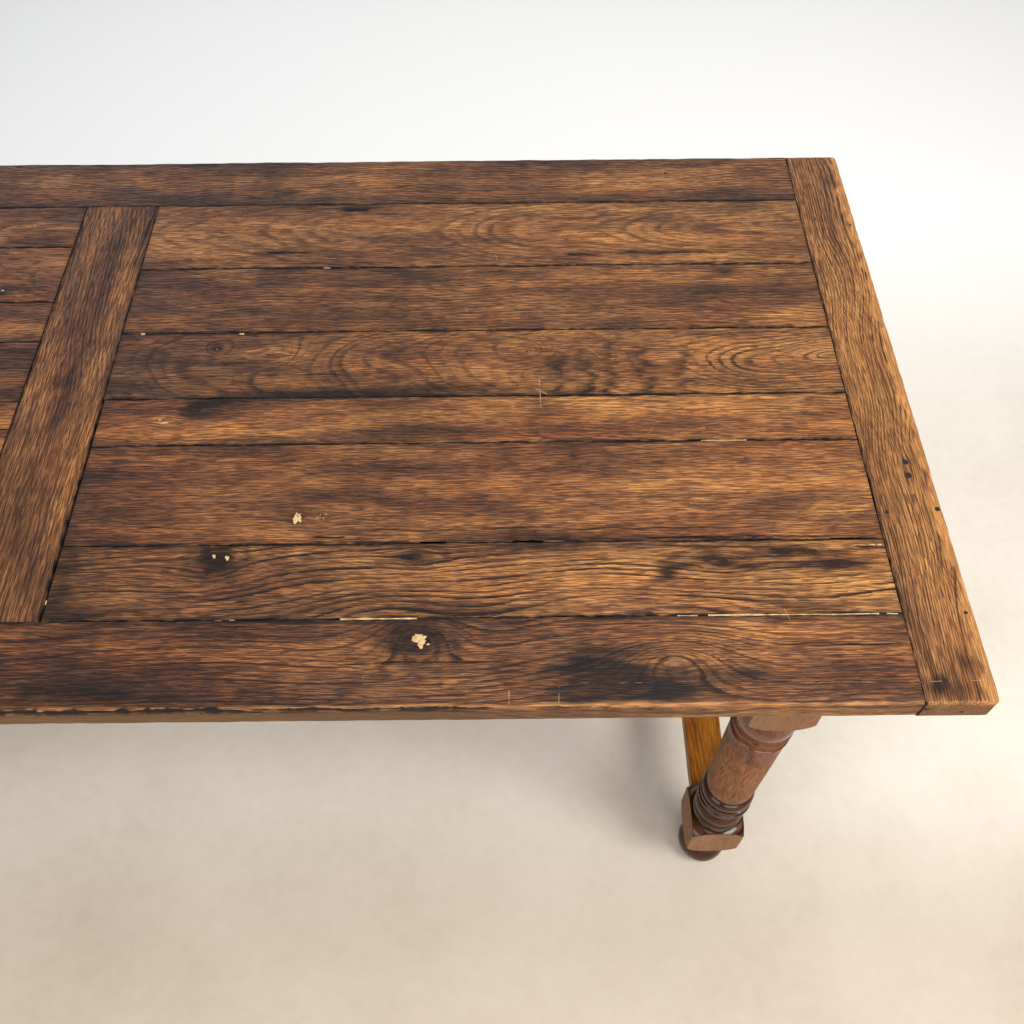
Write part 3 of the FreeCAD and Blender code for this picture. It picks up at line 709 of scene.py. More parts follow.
@dataclass
class Board:
    """A worn board: its size, its place in the log, and every mark on it.

    It is lofted from stations along its length. Each station holds a row of points over the
    face, down one edge, back under the board and up the other edge. Pairs of numbers are for
    its low and high edge, or for its two ends. Each of the changes is a place along the board
    with the tone and the figure there; these tones hold painted light as well as the wood's own
    tone, making most boards brighter towards their right-hand end. The bare shares tell how bare
    the sides are at some places, and on the stretchers they grey the sides as a painted
    reflection of the pale floor.
    Every wave has a seed of its own: the board's times a prime, plus the number of the edge
    or mark.
    """

    CURVE: ClassVar[float] = 0.0008
    MARGIN: ClassVar[float] = 0.0016
    CLOSE: ClassVar[float] = 0.00008
    WIDE_ARRIS: ClassVar[float] = 0.003
    FIBRES: ClassVar[float] = 0.012
    PATH: ClassVar[float] = 0.0007

    name: str
    start: float
    end: float
    low: float
    high: float
    pose: Pose
    growth: Growth
    seed: int
    slot: Slot = Slot.TOP
    thick: float = TOP_THICK
    tone: float = 0.0
    figure: float = 0.4
    red: float = 0.3
    still: float = 0.0
    arris: Pair = (0.0007, 0.0007)
    edge_wear: Pair = (0.5, 0.55)
    end_arris: float = 0.0006
    corner: Pair = (0.0, 0.0)
    tongue: Pair = (0.0, 0.0)
    tongue_thick: float = 0.010
    tongue_width: float = 1.0
    knots: tuple[Knot, ...] = ()
    cracks: tuple[Crack, ...] = ()
    splits: tuple[Crack, ...] = ()
    stains: tuple[Stain, ...] = ()
    arcs: tuple[Arc, ...] = ()
    changes: tuple[Triple, ...] = ((0.0, 0.0, 1.0),)
    edge_stain: Pair = (0.0, 0.0)
    edge_dirt: Pair = (0.5, 0.5)
    worn_reach: float = 0.0
    bare_and_painted_light: tuple[Pair, ...] = ((0.0, 0.6),)
    open_ends: bool = False
    step: float = 0.005
    row: float = 0.0021
    cup: float = 0.0003
    side_rows: int = 3
    under_rows: int = 8

    def distances(self) -> Array:
        """Choose distances from an end at which its rounding needs a station.

        Returns:
            The distances, from 0 upwards.
        """
        found = [self.end_arris * (1 - math.cos(math.radians(turn))) for turn in (0, 30, 60, 90)]
        for radius in self.corner:
            found += [radius * (1 - math.cos(math.radians(turn))) for turn in range(0, 91, 9)]
        found.sort()
        kept = found[:1]
        for distance in found:
            if distance - kept[-1] > self.CLOSE:
                kept.append(distance)
        return np.array(kept)

    def stations(self) -> tuple[Array, Array]:
        """Place the stations.

        Returns:
            Their places along the board, and for each one 1 on a tongue and 0 on the board.
        """
        ends = self.distances()
        first, last = self.start + ends, (self.end - ends)[::-1]
        count = max(2, int(round((last[0] - first[-1]) / self.step)))
        places = np.concatenate([first[:-1], np.linspace(first[-1], last[0], count + 1), last[1:]])
        flags = np.zeros(len(places))
        if self.tongue[0]:
            places = np.concatenate([[self.start - self.tongue[0], self.start], places])
            places = np.concatenate([places, [self.end, self.end + self.tongue[1]]])
            flags = np.pad(flags, 2, constant_values=1)
        return places, flags

    def face_rows(self) -> tuple[Array, Array, Array]:
        """Place the rows over the face, between the two rounded edges.

        Returns:
            Their places across the board, the crack each belongs to (or -1), and how deep the
            crack is there as a share of its whole depth.
        """
        margin = [max(self.MARGIN, 1.35 * radius) for radius in self.arris]
        count = max(3, int(round((self.high - self.low - sum(margin)) / self.row)))
        plain = np.linspace(self.low + margin[0], self.high - margin[1], count + 1)
        rows = [(value, -1, 0.0) for value in plain]
        for number, crack in enumerate(self.cracks):
            rows = [entry for entry in rows if entry[1] >= 0 or abs(entry[0] - crack.v) > 1.9 * crack.width]
            for offset, share in ((-1.5, 0.0), (-0.5, 0.22), (0.0, 1.0), (0.5, 0.22), (1.5, 0.0)):
                rows.append((crack.v + offset * crack.width, number, share))
        places, owner, share = zip(*sorted(rows))
        return np.array(places), np.array(owner), np.array(share)

    def split(self, u: Array, v: Array, w: Array) -> Array:
        """Say how open the splits along the low edge are.

        Args:
            u: places along the board.
            v: places across it.
            w: places up from its face.

        Returns:
            0 where the edge is whole, up to 1 in a split.
        """
        found, round_edge = np.zeros_like(v), -w - (v - self.low)
        for number, crack in enumerate(self.splits):
            path = crack.v + 0.0010 * Wander(self.seed * 83 + number, 0.12)(u)
            rough = Wander(self.seed * 89 + number, 0.06)(u) + 0.7 * Wander(self.seed * 97 + number, 0.013)(u)
            rough = np.clip(0.8 + 0.4 * rough, 0.4, 1.6) * crack.inside(0.05, u)
            half = 0.5 * crack.width * rough + 1e-6
            near = ease(0.014, 0.010, v - self.low) * np.clip(3 * rough, 0, 1)
            opened = near * ease(1.2 * half, 0.5 * half, np.abs(round_edge - path))
            found = np.maximum(found, crack.dark * opened)
        return found

    def edge(self, side: int, places: Array, off: Array) -> tuple[Array, Array]:
        """Follow one long edge, with its corners, its small waves and its worn arris.

        Args:
            side: 0 for the low edge and 1 for the high one.
            places: places of the stations.
            off: their distances from the nearer end.

        Returns:
            For each station, the edge's place across the board and the radius of its arris.
        """
        jitter = 0.00012 + 0.00012 * Wander(self.seed * 7 + side, 0.045)(places)
        if self.arris[side] < SHARP:
            loose = Wander(self.seed * 59 + side, 0.11)(places)
            loose = loose + 0.8 * Wander(self.seed * 61 + side, 0.02)(places)
            jitter = jitter + 0.0002 + 0.0010 * np.clip(loose - 1.0, 0, 1)
        inset = rounding(self.corner[side], off) + jitter
        rough = Wander(self.seed * 13 + side, 0.06)(places) + 2 * Wander(self.seed * 17 + side, 0.25)(places)
        radius = self.arris[side] * np.clip(0.9 + 0.08 * rough, 0.5, 1.3)
        return (self.high - inset if side else self.low + inset)[:, None], radius[:, None]

    def face(self, column: Array, low_edge: Array, high_edge: Array) -> tuple[Array, Array, Array]:
        """Lay out the face with its cracks.

        Args:
            column: places of the stations.
            low_edge: place of the low edge at each station.
            high_edge: place of the high edge.

        Returns:
            The rows' places across the board, their heights, and how dark the cracks are.
        """
        rows, owner, share = self.face_rows()
        v = low_edge + (high_edge - low_edge) * ((rows - self.low) / (self.high - self.low))
        w, gape = np.zeros_like(v), np.zeros_like(v)
        for number, crack in enumerate(self.cracks):
            room = min(crack.v - self.low, self.high - crack.v) - 1.5 * crack.width - self.MARGIN
            path = min(self.PATH, max(0.0, 0.4 * room)) * Wander(self.seed * 19 + number, 0.11)(column)
            path = path + crack.drift * np.clip((column - crack.start) / (crack.end - crack.start), 0, 1)
            fall = np.exp(-(((rows - crack.v) / self.FIBRES) ** 2))
            room = ease(0.0, self.FIBRES, rows - self.low) * ease(0.0, self.FIBRES, self.high - rows)
            v = v + path * fall * np.maximum(room, (owner == number) * 0.9)
            ragged = np.clip(0.8 + 0.4 * Wander(self.seed * 31 + number, 0.03)(column), 0.35, 1.0)
            width = crack.inside(0.03, column) * ragged
            mine = np.where(owner == number, share, 0.0)
            w = w - crack.depth * width * mine
            mouth = np.clip(mine * 1.5 + (mine > 0) * 0.5, 0, 1)
            gape = np.maximum(gape, crack.dark * np.clip(1.9 * width, 0, 1) * mouth)
        return v, w, gape

    def build(self) -> bpy.types.Object:
        """Loft the board and give its points their place in the log and their marks.

        Returns:
            The board's object, not yet dressed.
        """
        places, flags = self.stations()
        column = places[:, None]
        off = np.clip(np.minimum(places - self.start, self.end - places), 0, None)
        end_drop = rounding(self.end_arris, off)[:, None]
        (low_edge, low_bend), (high_edge, high_bend) = (self.edge(side, places, off) for side in (0, 1))
        turns = np.radians(np.linspace(0, 90, 4 if max(self.arris) < self.WIDE_ARRIS else 9))
        lean, rise = 1 - np.cos(turns), 1 - np.sin(turns)
        face_v, face_w, gape = self.face(column, low_edge, high_edge)
        bends_v = (low_edge + low_bend * lean, high_edge - high_bend * lean[::-1])
        top_v = np.concatenate([bends_v[0], face_v, bends_v[1]], axis=1)
        top_w = np.concatenate([-low_bend * rise, face_w, -high_bend * rise[::-1]], axis=1)
        spread = (top_v - self.low) / (self.high - self.low)
        relief = 0.00022 * Wander(self.seed * 23, 0.16, 0.05)(column, top_v)
        relief = relief - self.cup * (2 * spread - 1) ** 2
        for knot in self.knots:
            away = ((column - knot.u) / (1.6 * knot.radius)) ** 2 + ((top_v - knot.v) / knot.radius) ** 2
            relief = relief - 0.0004 * knot.dark * np.exp(-away)
        top_w = top_w - end_drop + np.minimum(relief, 0.0)
        levels = np.linspace(0, 1, self.side_rows + 2)[1:-1]
        levels = 1 - (1 - levels) ** 1.5 if self.splits else levels
        belly = 0.00035 * np.abs(Wander(self.seed * 29, 0.12, 0.02)(column, levels[None, :] * self.thick))
        foot = -self.thick + self.CURVE
        low_drop, high_drop = -low_bend - end_drop, -high_bend - end_drop
        inner = high_edge - low_edge - 2 * self.CURVE
        under_v = low_edge + self.CURVE + inner * np.linspace(1, 0, self.under_rows)
        if self.open_ends:
            under_v = top_v[:, ::-1]
        under_w = 0.0004 * np.abs(Wander(self.seed, 0.2, 0.05)(column, under_v)) - self.thick
        v = np.concatenate([top_v, high_edge - belly, under_v, low_edge + belly], axis=1)
        sides = (high_drop + (foot - high_drop) * levels, under_w, foot + (low_drop - foot) * levels)
        w = np.concatenate([top_w, *sides], axis=1)
        half, centre = self.tongue_thick / 2, -self.thick / 2
        held = flags[:, None] > 0
        w = np.where(held, np.clip(w, centre - half, centre + half), w)
        half, centre = self.tongue_width / 2, (self.low + self.high) / 2
        v = np.where(held, np.clip(v, centre - half, centre + half), v)
        u = np.repeat(column, v.shape[1], axis=1)
        marks, gloss = np.zeros_like(v), np.zeros_like(v)
        marks[:, len(turns): len(turns) + gape.shape[1]] = gape
        gloss[:, : top_v.shape[1]] = 0.5
        if self.splits:
            opened = self.split(u, v, w) * (1 - held)
            marks = np.maximum(marks, opened)
            v = v + 0.0016 * opened
            w = w - 0.0006 * opened * (w > -0.004)
        index, faces, caps = shell(*v.shape)
        points = [(u, v, w, marks, gloss)]
        faces += self.end_faces(points, index, top_v.shape[1]) if self.open_ends else caps
        joined = [np.concatenate([part.ravel() for part in parts]) for parts in zip(*points)]
        u, v, w, marks, gloss = joined
        values = self.wood(u, v, w)
        values["grime_and_shade"] = np.maximum(values["grime_and_shade"], marks)
        values["gloss"] = gloss
        return solid(self.name, self.pose.world(u, v, w), faces, values)

    def end_faces(self, points: list[tuple[Array, ...]], index: Array, wide: int) -> Faces:
        """Close both ends with a grid, so that the end grain shows.

        Args:
            points: groups of points, to which the grid's own points are added.
            index: numbers of the loft's points by station and row.
            wide: number of points over the face.

        Returns:
            The faces of the two ends.
        """
        faces, total, side = [], index.size, self.side_rows
        u, v, w = (part.ravel() for part in points[0][:3])
        for station in (index[0], index[-1]):
            over, right, under, left = np.split(station, (wide, wide + side, 2 * wide + side))
            under, left = under[::-1], left[::-1]
            grid = [over.tolist()]
            for level in range(side):
                share = (level + 1) / (side + 1)
                fresh = [(part[over] * (1 - share) + part[under] * share)[1:-1] for part in (u, v, w)]
                points.append((*fresh, np.zeros(wide - 2), np.zeros(wide - 2)))
                grid.append([int(left[level]), *range(total, total + wide - 2), int(right[level])])
                total += wide - 2
            grid.append(under.tolist())
            for upper, lower in zip(grid, grid[1:]):
                faces += [list(face) for face in zip(upper, upper[1:], lower[1:], lower)]
        return faces

    def wood(self, u: Array, v: Array, w: Array) -> dict[str, Array]:
        """Work out the wood at each place.

        Args:
            u: places along the board.
            v: places across it.
            w: places up from its face.

        Returns:
            The log's directions, the rings, the stain, wear and grime, and the tone with its painted light.
        """
        around, eye, calm = v.copy(), np.zeros_like(v), np.ones_like(v)
        for number, knot in enumerate(self.knots):
            square = ((u - knot.u) / knot.stretch) ** 2 + (v - knot.v) ** 2
            around = around - (v - knot.v) * knot.radius**2 / (square + knot.radius**2)
            size = np.sqrt(((u - knot.u) / 1.25) ** 2 + (v - knot.v) ** 2) / knot.radius
            size = size * (1 + 0.16 * Wander(self.seed * 37 + number, 0.02, 0.02)(u, v))
            eye = np.maximum(eye, knot.dark * (0.62 * ease(2.6, 0.9, size) + 0.38 * ease(1.15, 0.55, size)))
            calm = calm * (1 - 0.85 * ease(1.0, 0.45, size))
        spots, tones, figures = zip(*self.changes)
        # Tone along the board: the wood's own tone plus painted light, because the changes paint most boards
        # brighter towards their right-hand end.
        tone = self.tone + np.interp(u, spots, tones)
        stain_and_shade = eye + self.arc_stain(u, v)
        for number, patch in enumerate(self.stains):
            ragged = np.clip(Wander(self.seed * 41 + number, 0.06, 0.02)(u, v), -1.2, 1.6)
            strength = np.exp(-patch.away(u, v) * (1 + 0.4 * ragged))
            stain_and_shade = stain_and_shade + max(patch.amount, 0.0) * strength
            tone = tone + max(-patch.amount, 0.0) * strength
        uneven = np.clip(0.8 + 0.5 * Wander(self.seed * 43, 0.05)(u), 0, 1)
        for amount, off in zip(self.edge_stain, (v - self.low, self.high - v)):
            stain_and_shade = stain_and_shade + amount * np.exp(-off / 0.006) * uneven
        wear, grime_and_shade = self.wear_and_grime(u, v, w)
        return {
            "grain": np.stack([u + self.seed * 0.37, around + self.seed * 0.19, w], axis=-1),
            "ring": self.growth.rings(u, around, w, self.seed, self.knots),
            "stain_and_shade": np.clip(stain_and_shade, 0, 1), "wear": np.clip(wear, 0, 1), "grime_and_shade": np.clip(grime_and_shade, 0, 1),
            "tone": tone, "figure": self.figure * calm * np.interp(u, spots, figures),
            "still": np.full_like(v, self.still), "red": np.full_like(v, self.red),
            "raw_and_painted_light": np.interp(u, *zip(*self.bare_and_painted_light)) * ease(-0.007, -0.0115, w),
        }

    def arc_stain(self, u: Array, v: Array) -> Array:
        """Say how dark the jagged bands are.

        Args:
            u: places along the board.
            v: places across it.

        Returns:
            The bands' share of the stain.
        """
        stain_and_shade = np.zeros_like(v)
        for number, arc in enumerate(self.arcs):
            share = (v - arc.v) / arc.reach
            off = u - arc.u + arc.bend * share**2
            for wave, depth in ((0.022, 0.0050), (0.009, 0.0020), (0.0045, 0.0010)):
                off = off - depth * Wander(self.seed * 67 + number, 0.3, wave)(u, v)
            width = arc.width * np.where(off > 0, 0.7, 2.2)
            stain_and_shade = stain_and_shade + arc.amount * np.exp(-((off / width) ** 2)) * ease(1.15, 0.8, np.abs(share))
        return stain_and_shade

    def wear_and_grime(self, u: Array, v: Array, w: Array) -> tuple[Array, Array]:
        """Say where the edges are worn and where dirt lies along the seams.

        Args:
            u: places along the board.
            v: places across it.
            w: places up from its face.

        Returns:
            The wear and the grime at each place.
        """
        wear, grime_and_shade = np.zeros_like(v), np.zeros_like(v)
        for side, off in enumerate((v - self.low, self.high - v)):
            width = max(0.0022, 1.5 * self.arris[side])
            if self.arris[side] > SHARP:
                width = max(width, self.worn_reach) * (0.85 + 0.25 * Wander(self.seed * 101 + side, 0.09)(u))
                uneven = np.clip(0.92 + 0.12 * Wander(self.seed * 47 + side, 0.05)(u), 0.6, 1)
            else:
                uneven = np.clip(0.65 + 0.5 * Wander(self.seed * 47 + side, 0.04)(u), 0, 1)
                crumb = np.clip(0.8 + 0.4 * Wander(self.seed * 53 + side, 0.025)(u), 0.3, 1)
                grime_and_shade = np.maximum(grime_and_shade, crumb * ease(0.0, -0.0004, w) * ease(0.003, 0.0015, off))
                loose = Wander(self.seed * 73 + side, 0.07)(u) + 0.7 * Wander(self.seed * 79 + side, 0.016)(u)
                reach = 0.0006 + 0.0018 * self.edge_dirt[side] * np.clip(loose, 0, 1.6)
                fringe = ease(reach, 0.55 * reach, off) * ease(-0.004, -0.0005, w)
                fringe = fringe * np.clip(0.55 + 0.5 * loose, 0.15, 0.95) * min(1.0, 2 * self.edge_dirt[side])
                grime_and_shade = np.maximum(grime_and_shade, fringe)
            worn = uneven * ease(width, 0.5 * width, off) * ease(-0.009, -0.001, w)
            wear = np.maximum(wear, self.edge_wear[side] * worn)
        off = np.minimum(u - self.start, self.end - u)
        if self.open_ends:
            wear = np.maximum(wear, 0.5 * ease(0.006, 0.001, off) * ease(-0.008, -0.001, w))
        else:
            grime_and_shade = np.maximum(grime_and_shade, 0.8 * ease(0.0009, 0.0, off))
        return wear, grime_and_shade


@dataclass
class PlankTop:
    """The framed top: two long rails, two end boards, a cross rail and thirteen planks."""

    finish: OakFinish = TOP_OAK
    rail_end: float = 0.985
    field_back: float = 0.344
    field_front: float = -0.340
    cross_half: float = 0.0525
    gap: float = 0.0005
    open_gap: float = 0.0026

    def plank(
        self, part: str, number: int, back: float, front: float, growth: Growth, **marks: object,
    ) -> Board:
        """Make a plank of the right or left field.

        Args:
            part: the field.
            number: its number, counted from the back.
            back: its back edge.
            front: its front edge.
            growth: how it was cut.
            marks: any other field of the board.

        Returns:
            The board.
        """
        right = part == "right"
        gap = self.open_gap if right and number > 3 else self.gap
        ends, tongue = (self.cross_half + gap, self.rail_end - self.gap), (gap + 0.009, 0.0115)
        if not right:
            ends, tongue = (-ends[1], -ends[0]), tongue[::-1]
        name, seed = f"{part}_plank_{number}", number + (10 if right else 20)
        return Board(name, *ends, front, back, ON_TOP, growth, seed, tongue=tongue, **marks)

    def right_field(self) -> Iterator[Board]:
        """Give the six planks of the right field, from the back.

        Returns:
            The planks.
        """
        # The changes' tones hold painted light: each plank is painted brighter towards its right-hand end.
        yield self.plank(
            "right", 1, 0.3436, 0.2103, Growth(0.285, 0.13, -0.11, -0.005, 0.0052), tone=0.02, figure=0.6,
            red=0.1, changes=((0.05, -0.02, 0.5), (0.45, 0, 0.6), (0.7, 0.04, 1), (0.98, 0.06, 0.8)),
            edge_stain=(0.25, 0.45),
            cracks=Crack.rows(
                (706, 882, 237.2, 6.2, 3, -3), (640, 694, 233.5, 3.6), (204, 294, 242, 2.6, 3, -2, 0.9),
                (320, 372, 332, 5),
            ),
            stains=Stain.rows(
                (790, 236.2, 75, 4.5, 0.9), (245, 241.5, 40, 4, 0.7), (345, 336, 50, 8, 0.7),
                (900, 325, 60, 14, 0.35), (470, 305, 50, 12, 0.25), (790, 300, 50, 10, 0.25),
                (930, 240, 50, 20, 0.3), (100, 330, 50, 20, 0.25),
            ),
        )
        yield self.plank(
            "right", 2, 0.2095, 0.0876, Growth(-0.25, 0.07, 0, 0.015, 0.0055, 0.006), tone=-0.07,
            figure=0.6, red=0.2, changes=((0.05, -0.14, 1), (0.4, -0.05, 1), (0.98, 0.12, 0.9)),
            edge_stain=(0.2, 0.35),
            cracks=Crack.rows((865, 884, 98.5, 1.6, 2)),
            stains=Stain.rows(
                (858, 163, 45, 9, 0.7), (947, 165, 40, 30, 0.45), (580, 195, 100, 12, 0.45),
                (400, 200, 50, 8), (862, 197, 20, 9), (620, 158, 10, 14, 0.4), (300, 125, 100, 20, 0.2),
                (840, 195, 50, 8, 0.3), (550, 150, 60, 20, -0.15),
            ),
        )
        yield self.plank(
            "right", 3, 0.0868, -0.026, Growth(0.03, 0.178, -0.175, 0, 0.0044, 0.003), tone=0.05, figure=1,
            red=0.1,
            changes=(
                (0.05, -0.27, 0.5), (0.42, -0.23, 0.6), (0.54, 0, 0.5), (0.66, 0.07, 0.15),
                (0.77, 0.07, 0.25), (0.82, 0.06, 1), (0.98, 0.03, 1),
            ),
            edge_stain=(0.5, 0.15),
            knots=Knot.rows(
                (586, 48, 6, 26, 3.4, 1.9, 0.5), (182.7, 57.8, 5, 12, 3, 1.6, 1),
                (262, 46, 10, 18, 2.8, 2, 0),
            ),
            cracks=Crack.rows((100, 360, 9.5, 1, 2, 3, 0.7)),
            stains=Stain.rows(
                (290, -20, 100, 8, 0.55), (450, -16, 140, 12, 0.65), (617, 30, 12, 14, 0.5),
                (360, 6, 50, 8, 0.4), (100, 50, 40, 20, 0.25), (250, 20, 60, 10, 0.35),
            ),
            arcs=Arc.rows(
                (628, 10, 40, 4.2, 6, 0.66), (664, 4, 44, 4.4, 10, 0.72), (700, 22, 50, 4.2, 12, 0.72),
                (738, 12, 50, 5, 6, 0.74), (790, 14, 52, 4.4, -10, 0.66),
            ),
        )
        yield self.plank(
            "right", 4, -0.0268, -0.1002, Growth(0.3, 0.05, 0, -0.02, 0.0048), tone=0.05,
            changes=((0.05, -0.1, 1), (0.45, -0.04, 1), (0.98, 0.12, 1)), edge_stain=(0.5, 0.3),
            knots=Knot.rows((170, -43.5, 8.5, 10, 2.6, 1.7, 1), (138, -64, 6, 8, 2.4, 1.6, 0)),
            stains=Stain.rows(
                (187, -36, 20, 6, 0.9), (205, -30, 30, 6, 0.7), (450, -80, 50, 12, 0.5),
                (400, -40, 40, 8, 0.35), (605, -50, 30, 14, 0.45), (920, -60, 50, 10, 0.15),
                (138, -60, 20, 7, -0.4),
            ),
        )
        yield self.plank(
            "right", 5, -0.101, -0.2435, Growth(-0.42, 0.09, 0.03, 0.03, 0.0045), figure=0.3, red=0.35,
            changes=((0.05, -0.17, 1), (0.5, -0.07, 1), (0.98, 0.07, 1)), edge_stain=(0.75, 0.25),
            knots=Knot.rows((316.5, -207, 5.5, 8, 3.2, 1.8, 0.75), (346, -204, 6, 6, 2.6, 1.8, 0.35)),
            cracks=Crack.rows(
                (364, 828, -220, 1.4, 3, -4), (334, 376, -233.8, 1.8), (128, 228, -218.8, 1, 2, -4, 0.55),
                (700, 984, -239.8, 1.6, 4, -0.6, 0.95), (545, 640, -240.4, 2.8, 4),
            ),
            stains=Stain.rows(
                (305, -195, 28, 16, 0.35), (370, -165, 50, 20, 0.25), (220, -155, 60, 14, 0.2),
                (600, -236, 100, 6), (120, -190, 40, 20, 0.2), (800, -150, 80, 30, -0.12),
            ),
        )
        yield self.plank(
            "right", 6, -0.2443, -0.3396,
            Growth(-0.365, 0.045, -0.02, 0.04, 0.006, 0.004, ((0.62, 0.3, -0.014),)), tone=0.03,
            figure=1.35, red=0.1,
            changes=((0.05, -0.12, 0.7), (0.35, 0, 1), (0.6, 0.1, 1), (0.98, 0.24, 0.9)),
            edge_stain=(0.35, 0.55),
            knots=Knot.rows(
                (231.6, -267, 16, 12, 1.8, 1.6, 1), (801, -272, 10, 12, 2.4, 2.4, 0),
                (460, -262, 10, 10, 2.6, 2.4, 0),
            ),
            cracks=Crack.rows((948, 986, -252.5, 1.4)),
            stains=Stain.rows(
                (66, -285, 16, 50, 0.75), (100, -325, 50, 12, 0.35), (795, -270, 46, 11, 1.1),
                (875, -258, 35, 7, 0.9), (930, -277, 42, 12, 1.1), (737, -286, 12, 11, 1),
                (455, -262, 22, 7, 0.8), (825, -281, 20, 6, 0.7), (600, -252, 60, 6, 0.35),
                (520, -330, 120, 8, 0.4), (340, -300, 30, 4, 0.3), (355, -270, 50, 15, -0.15),
            ),
        )

    def left_field(self) -> Iterator[Board]:
        """Give the seven planks of the left field, from the back.

        Returns:
            The planks.
        """
        yield self.plank(
            "left", 1, 0.3436, 0.2577, Growth(0.29, 0.04, 0.02, 0, 0.0065, 0.006), tone=-0.07,
            edge_stain=(0.5, 0.3),
            stains=Stain.rows((-100, 275, 50, 20, 0.45), (-450, 310, 80, 20, 0.4)),
        )
        yield self.plank(
            "left", 2, 0.2569, 0.1488, Growth(0.21, 0.03, 0.03, 0.01, 0.007, 0.008), tone=-0.08,
            edge_stain=(0.4, 0.3),
            knots=Knot.rows((-128, 170, 6, 10, 3, 1.8, 0.9), (-520, 210, 11, 14, 3, 1.8)),
            stains=Stain.rows((-80, 185, 40, 12, 0.45), (-700, 170, 100, 20, 0.3)),
        )
        yield self.plank(
            "left", 3, 0.148, 0.0742, Growth(-0.2, 0.06, 0, 0.02, 0.005, 0.005), tone=-0.16,
            edge_stain=(0.4, 0.3),
            stains=Stain.rows((-60, 120, 20, 20, 0.2), (-500, 100, 80, 20, 0.3)),
        )
        yield self.plank(
            "left", 4, 0.0734, -0.0274, Growth(0.3, 0.07, 0, 0.02, 0.0055, 0.006), tone=-0.11,
            edge_stain=(0.3, 0.4),
            cracks=Crack.rows((-620, -340, 30, 1.3, 3, 2, 0.8)),
            stains=Stain.rows((-90, 30, 60, 30, 0.5), (-600, 0, 100, 30, 0.4)),
        )
        yield self.plank(
            "left", 5, -0.0282, -0.0714, Growth(-0.05, 0.03, 0.01, 0, 0.006, 0.006), tone=0.08,
            edge_stain=(0.5, 0.8),
            stains=Stain.rows((-300, -50, 60, 10, 0.3)),
        )
        yield self.plank(
            "left", 6, -0.0722, -0.2095, Growth(-0.14, 0.03, 0.03, 0, 0.007, 0.009), edge_stain=(0.4, 0.4),
            knots=Knot.rows((-400, -150, 10, 14, 3.2, 2, 0.7), (-780, -120, 8, 12, 3, 2, 0.4)),
            stains=Stain.rows((-250, -170, 80, 20, 0.4)),
        )
        yield self.plank(
            "left", 7, -0.2103, -0.3396, Growth(-0.6, 0.08, 0, 0.01, 0.005, 0.005), tone=-0.04,
            edge_stain=(0.5, 0.5),
            cracks=Crack.rows((-900, -620, -265, 1.4, 3, 3)),
            stains=Stain.rows((-300, -300, 100, 20, 0.4), (-850, -270, 60, 30, 0.4)),
        )

    def frame_boards(self) -> Iterator[Board]:
        """Give the two long rails, the cross rail and the two end boards.

        Returns:
            The boards.
        """
        # The changes' tones of both long rails hold painted light: darker at the left, brighter towards the
        # right.
        yield Board(
            "front_rail", -self.rail_end, self.rail_end, -HALF_DEPTH, self.field_front, ON_TOP,
            Growth(-0.305, 0.06, 0.01, 0.015, 0.005), 31,
            tone=-0.03, figure=1, red=0.25, arris=(0.0046, 0.0007), edge_wear=(0.72, 0.25),
            tongue=(0.046, 0.046), tongue_width=0.062,
            changes=(
                (-0.98, -0.1, 0.9), (0.1, -0.16, 0.8), (0.4, -0.13, 0.9), (0.6, -0.01, 1.1),
                (0.85, 0.04, 0.8),
            ),
            edge_stain=(0.2, 0.4), worn_reach=0.0075, bare_and_painted_light=((0.45, 0.85), (0.62, 0.35)), side_rows=12,
            knots=Knot.rows(
                (464.8, -366.2, 13, 46, 2.3, 1.8, 1), (733.6, -397, 9, 58, 3.8, 2.2, 0.15),
                (-400, -400, 10, 16, 3, 2),
            ),
            cracks=Crack.rows(
                (384, 562, -393.8, 1, 2, -2, 0.75), (838, 984, -374.2, 1.1, 3, -2, 0.8),
                (-750, -500, -392, 1.2, 3, 3, 0.8),
            ),
            splits=Crack.rows(
                (-970, 320, 4, 12.5, 2), (280, 560, 2, 6.4, 2, 0, 0.95), (555, 700, 2, 4.4, 2, 0, 0.85),
                (680, 800, 9, 2, 2, 0, 0.8),
            ),
            stains=Stain.rows(
                (682, -415, 52, 22, 1.2), (642, -398, 34, 20, 1), (630, -430, 34, 12, 0.9),
                (690, -434, 45, 6, 0.8), (807.5, -407, 32, 9, 0.8), (735, -425, 40, 10, 0.5),
                (120, -428.6, 90, 10), (116.7, -369, 12, 10, 0.35), (435, -368, 24, 20),
                (500, -372, 16, 16, 0.35), (900, -405, 35, 6, 0.35), (930, -425, 50, 6, 0.3),
                (0, -430, 100, 12, 0.4), (-300, -420, 100, 15, 0.4), (860, -355, 70, 8, -0.2),
                (250, -395, 50, 4, 0.3), (560, -360, 30, 8, 0.4),
            ),
        )
        yield Board(
            "back_rail", -self.rail_end, self.rail_end, self.field_back, HALF_DEPTH, ON_TOP,
            Growth(0.65, 0.07, 0.02, 0.02, 0.0055, 0.006), 32, tone=-0.05, figure=0.8, red=0.2,
            arris=(0.0007, 0.0026), edge_wear=(0.25, 0.5), tongue=(0.046, 0.046), tongue_width=0.062,
            changes=((0, -0.13, 1), (0.45, -0.07, 1), (0.7, 0.02, 1)), edge_stain=(0.5, 0.3), side_rows=8,
            knots=Knot.rows((235, 372, 9, 12, 3, 2, 0.5), (-620, 390, 10, 14, 3, 2)),
            stains=Stain.rows(
                (210.6, 392, 18, 30), (292.2, 352, 30, 12), (150, 425, 70, 12, 0.45),
                (880, 352, 60, 12, 0.5), (730, 356, 60, 6, 0.5), (30, 360, 50, 12, 0.4),
                (450, 410, 80, 12, 0.25), (-300, 400, 80, 20, 0.4),
            ),
        )
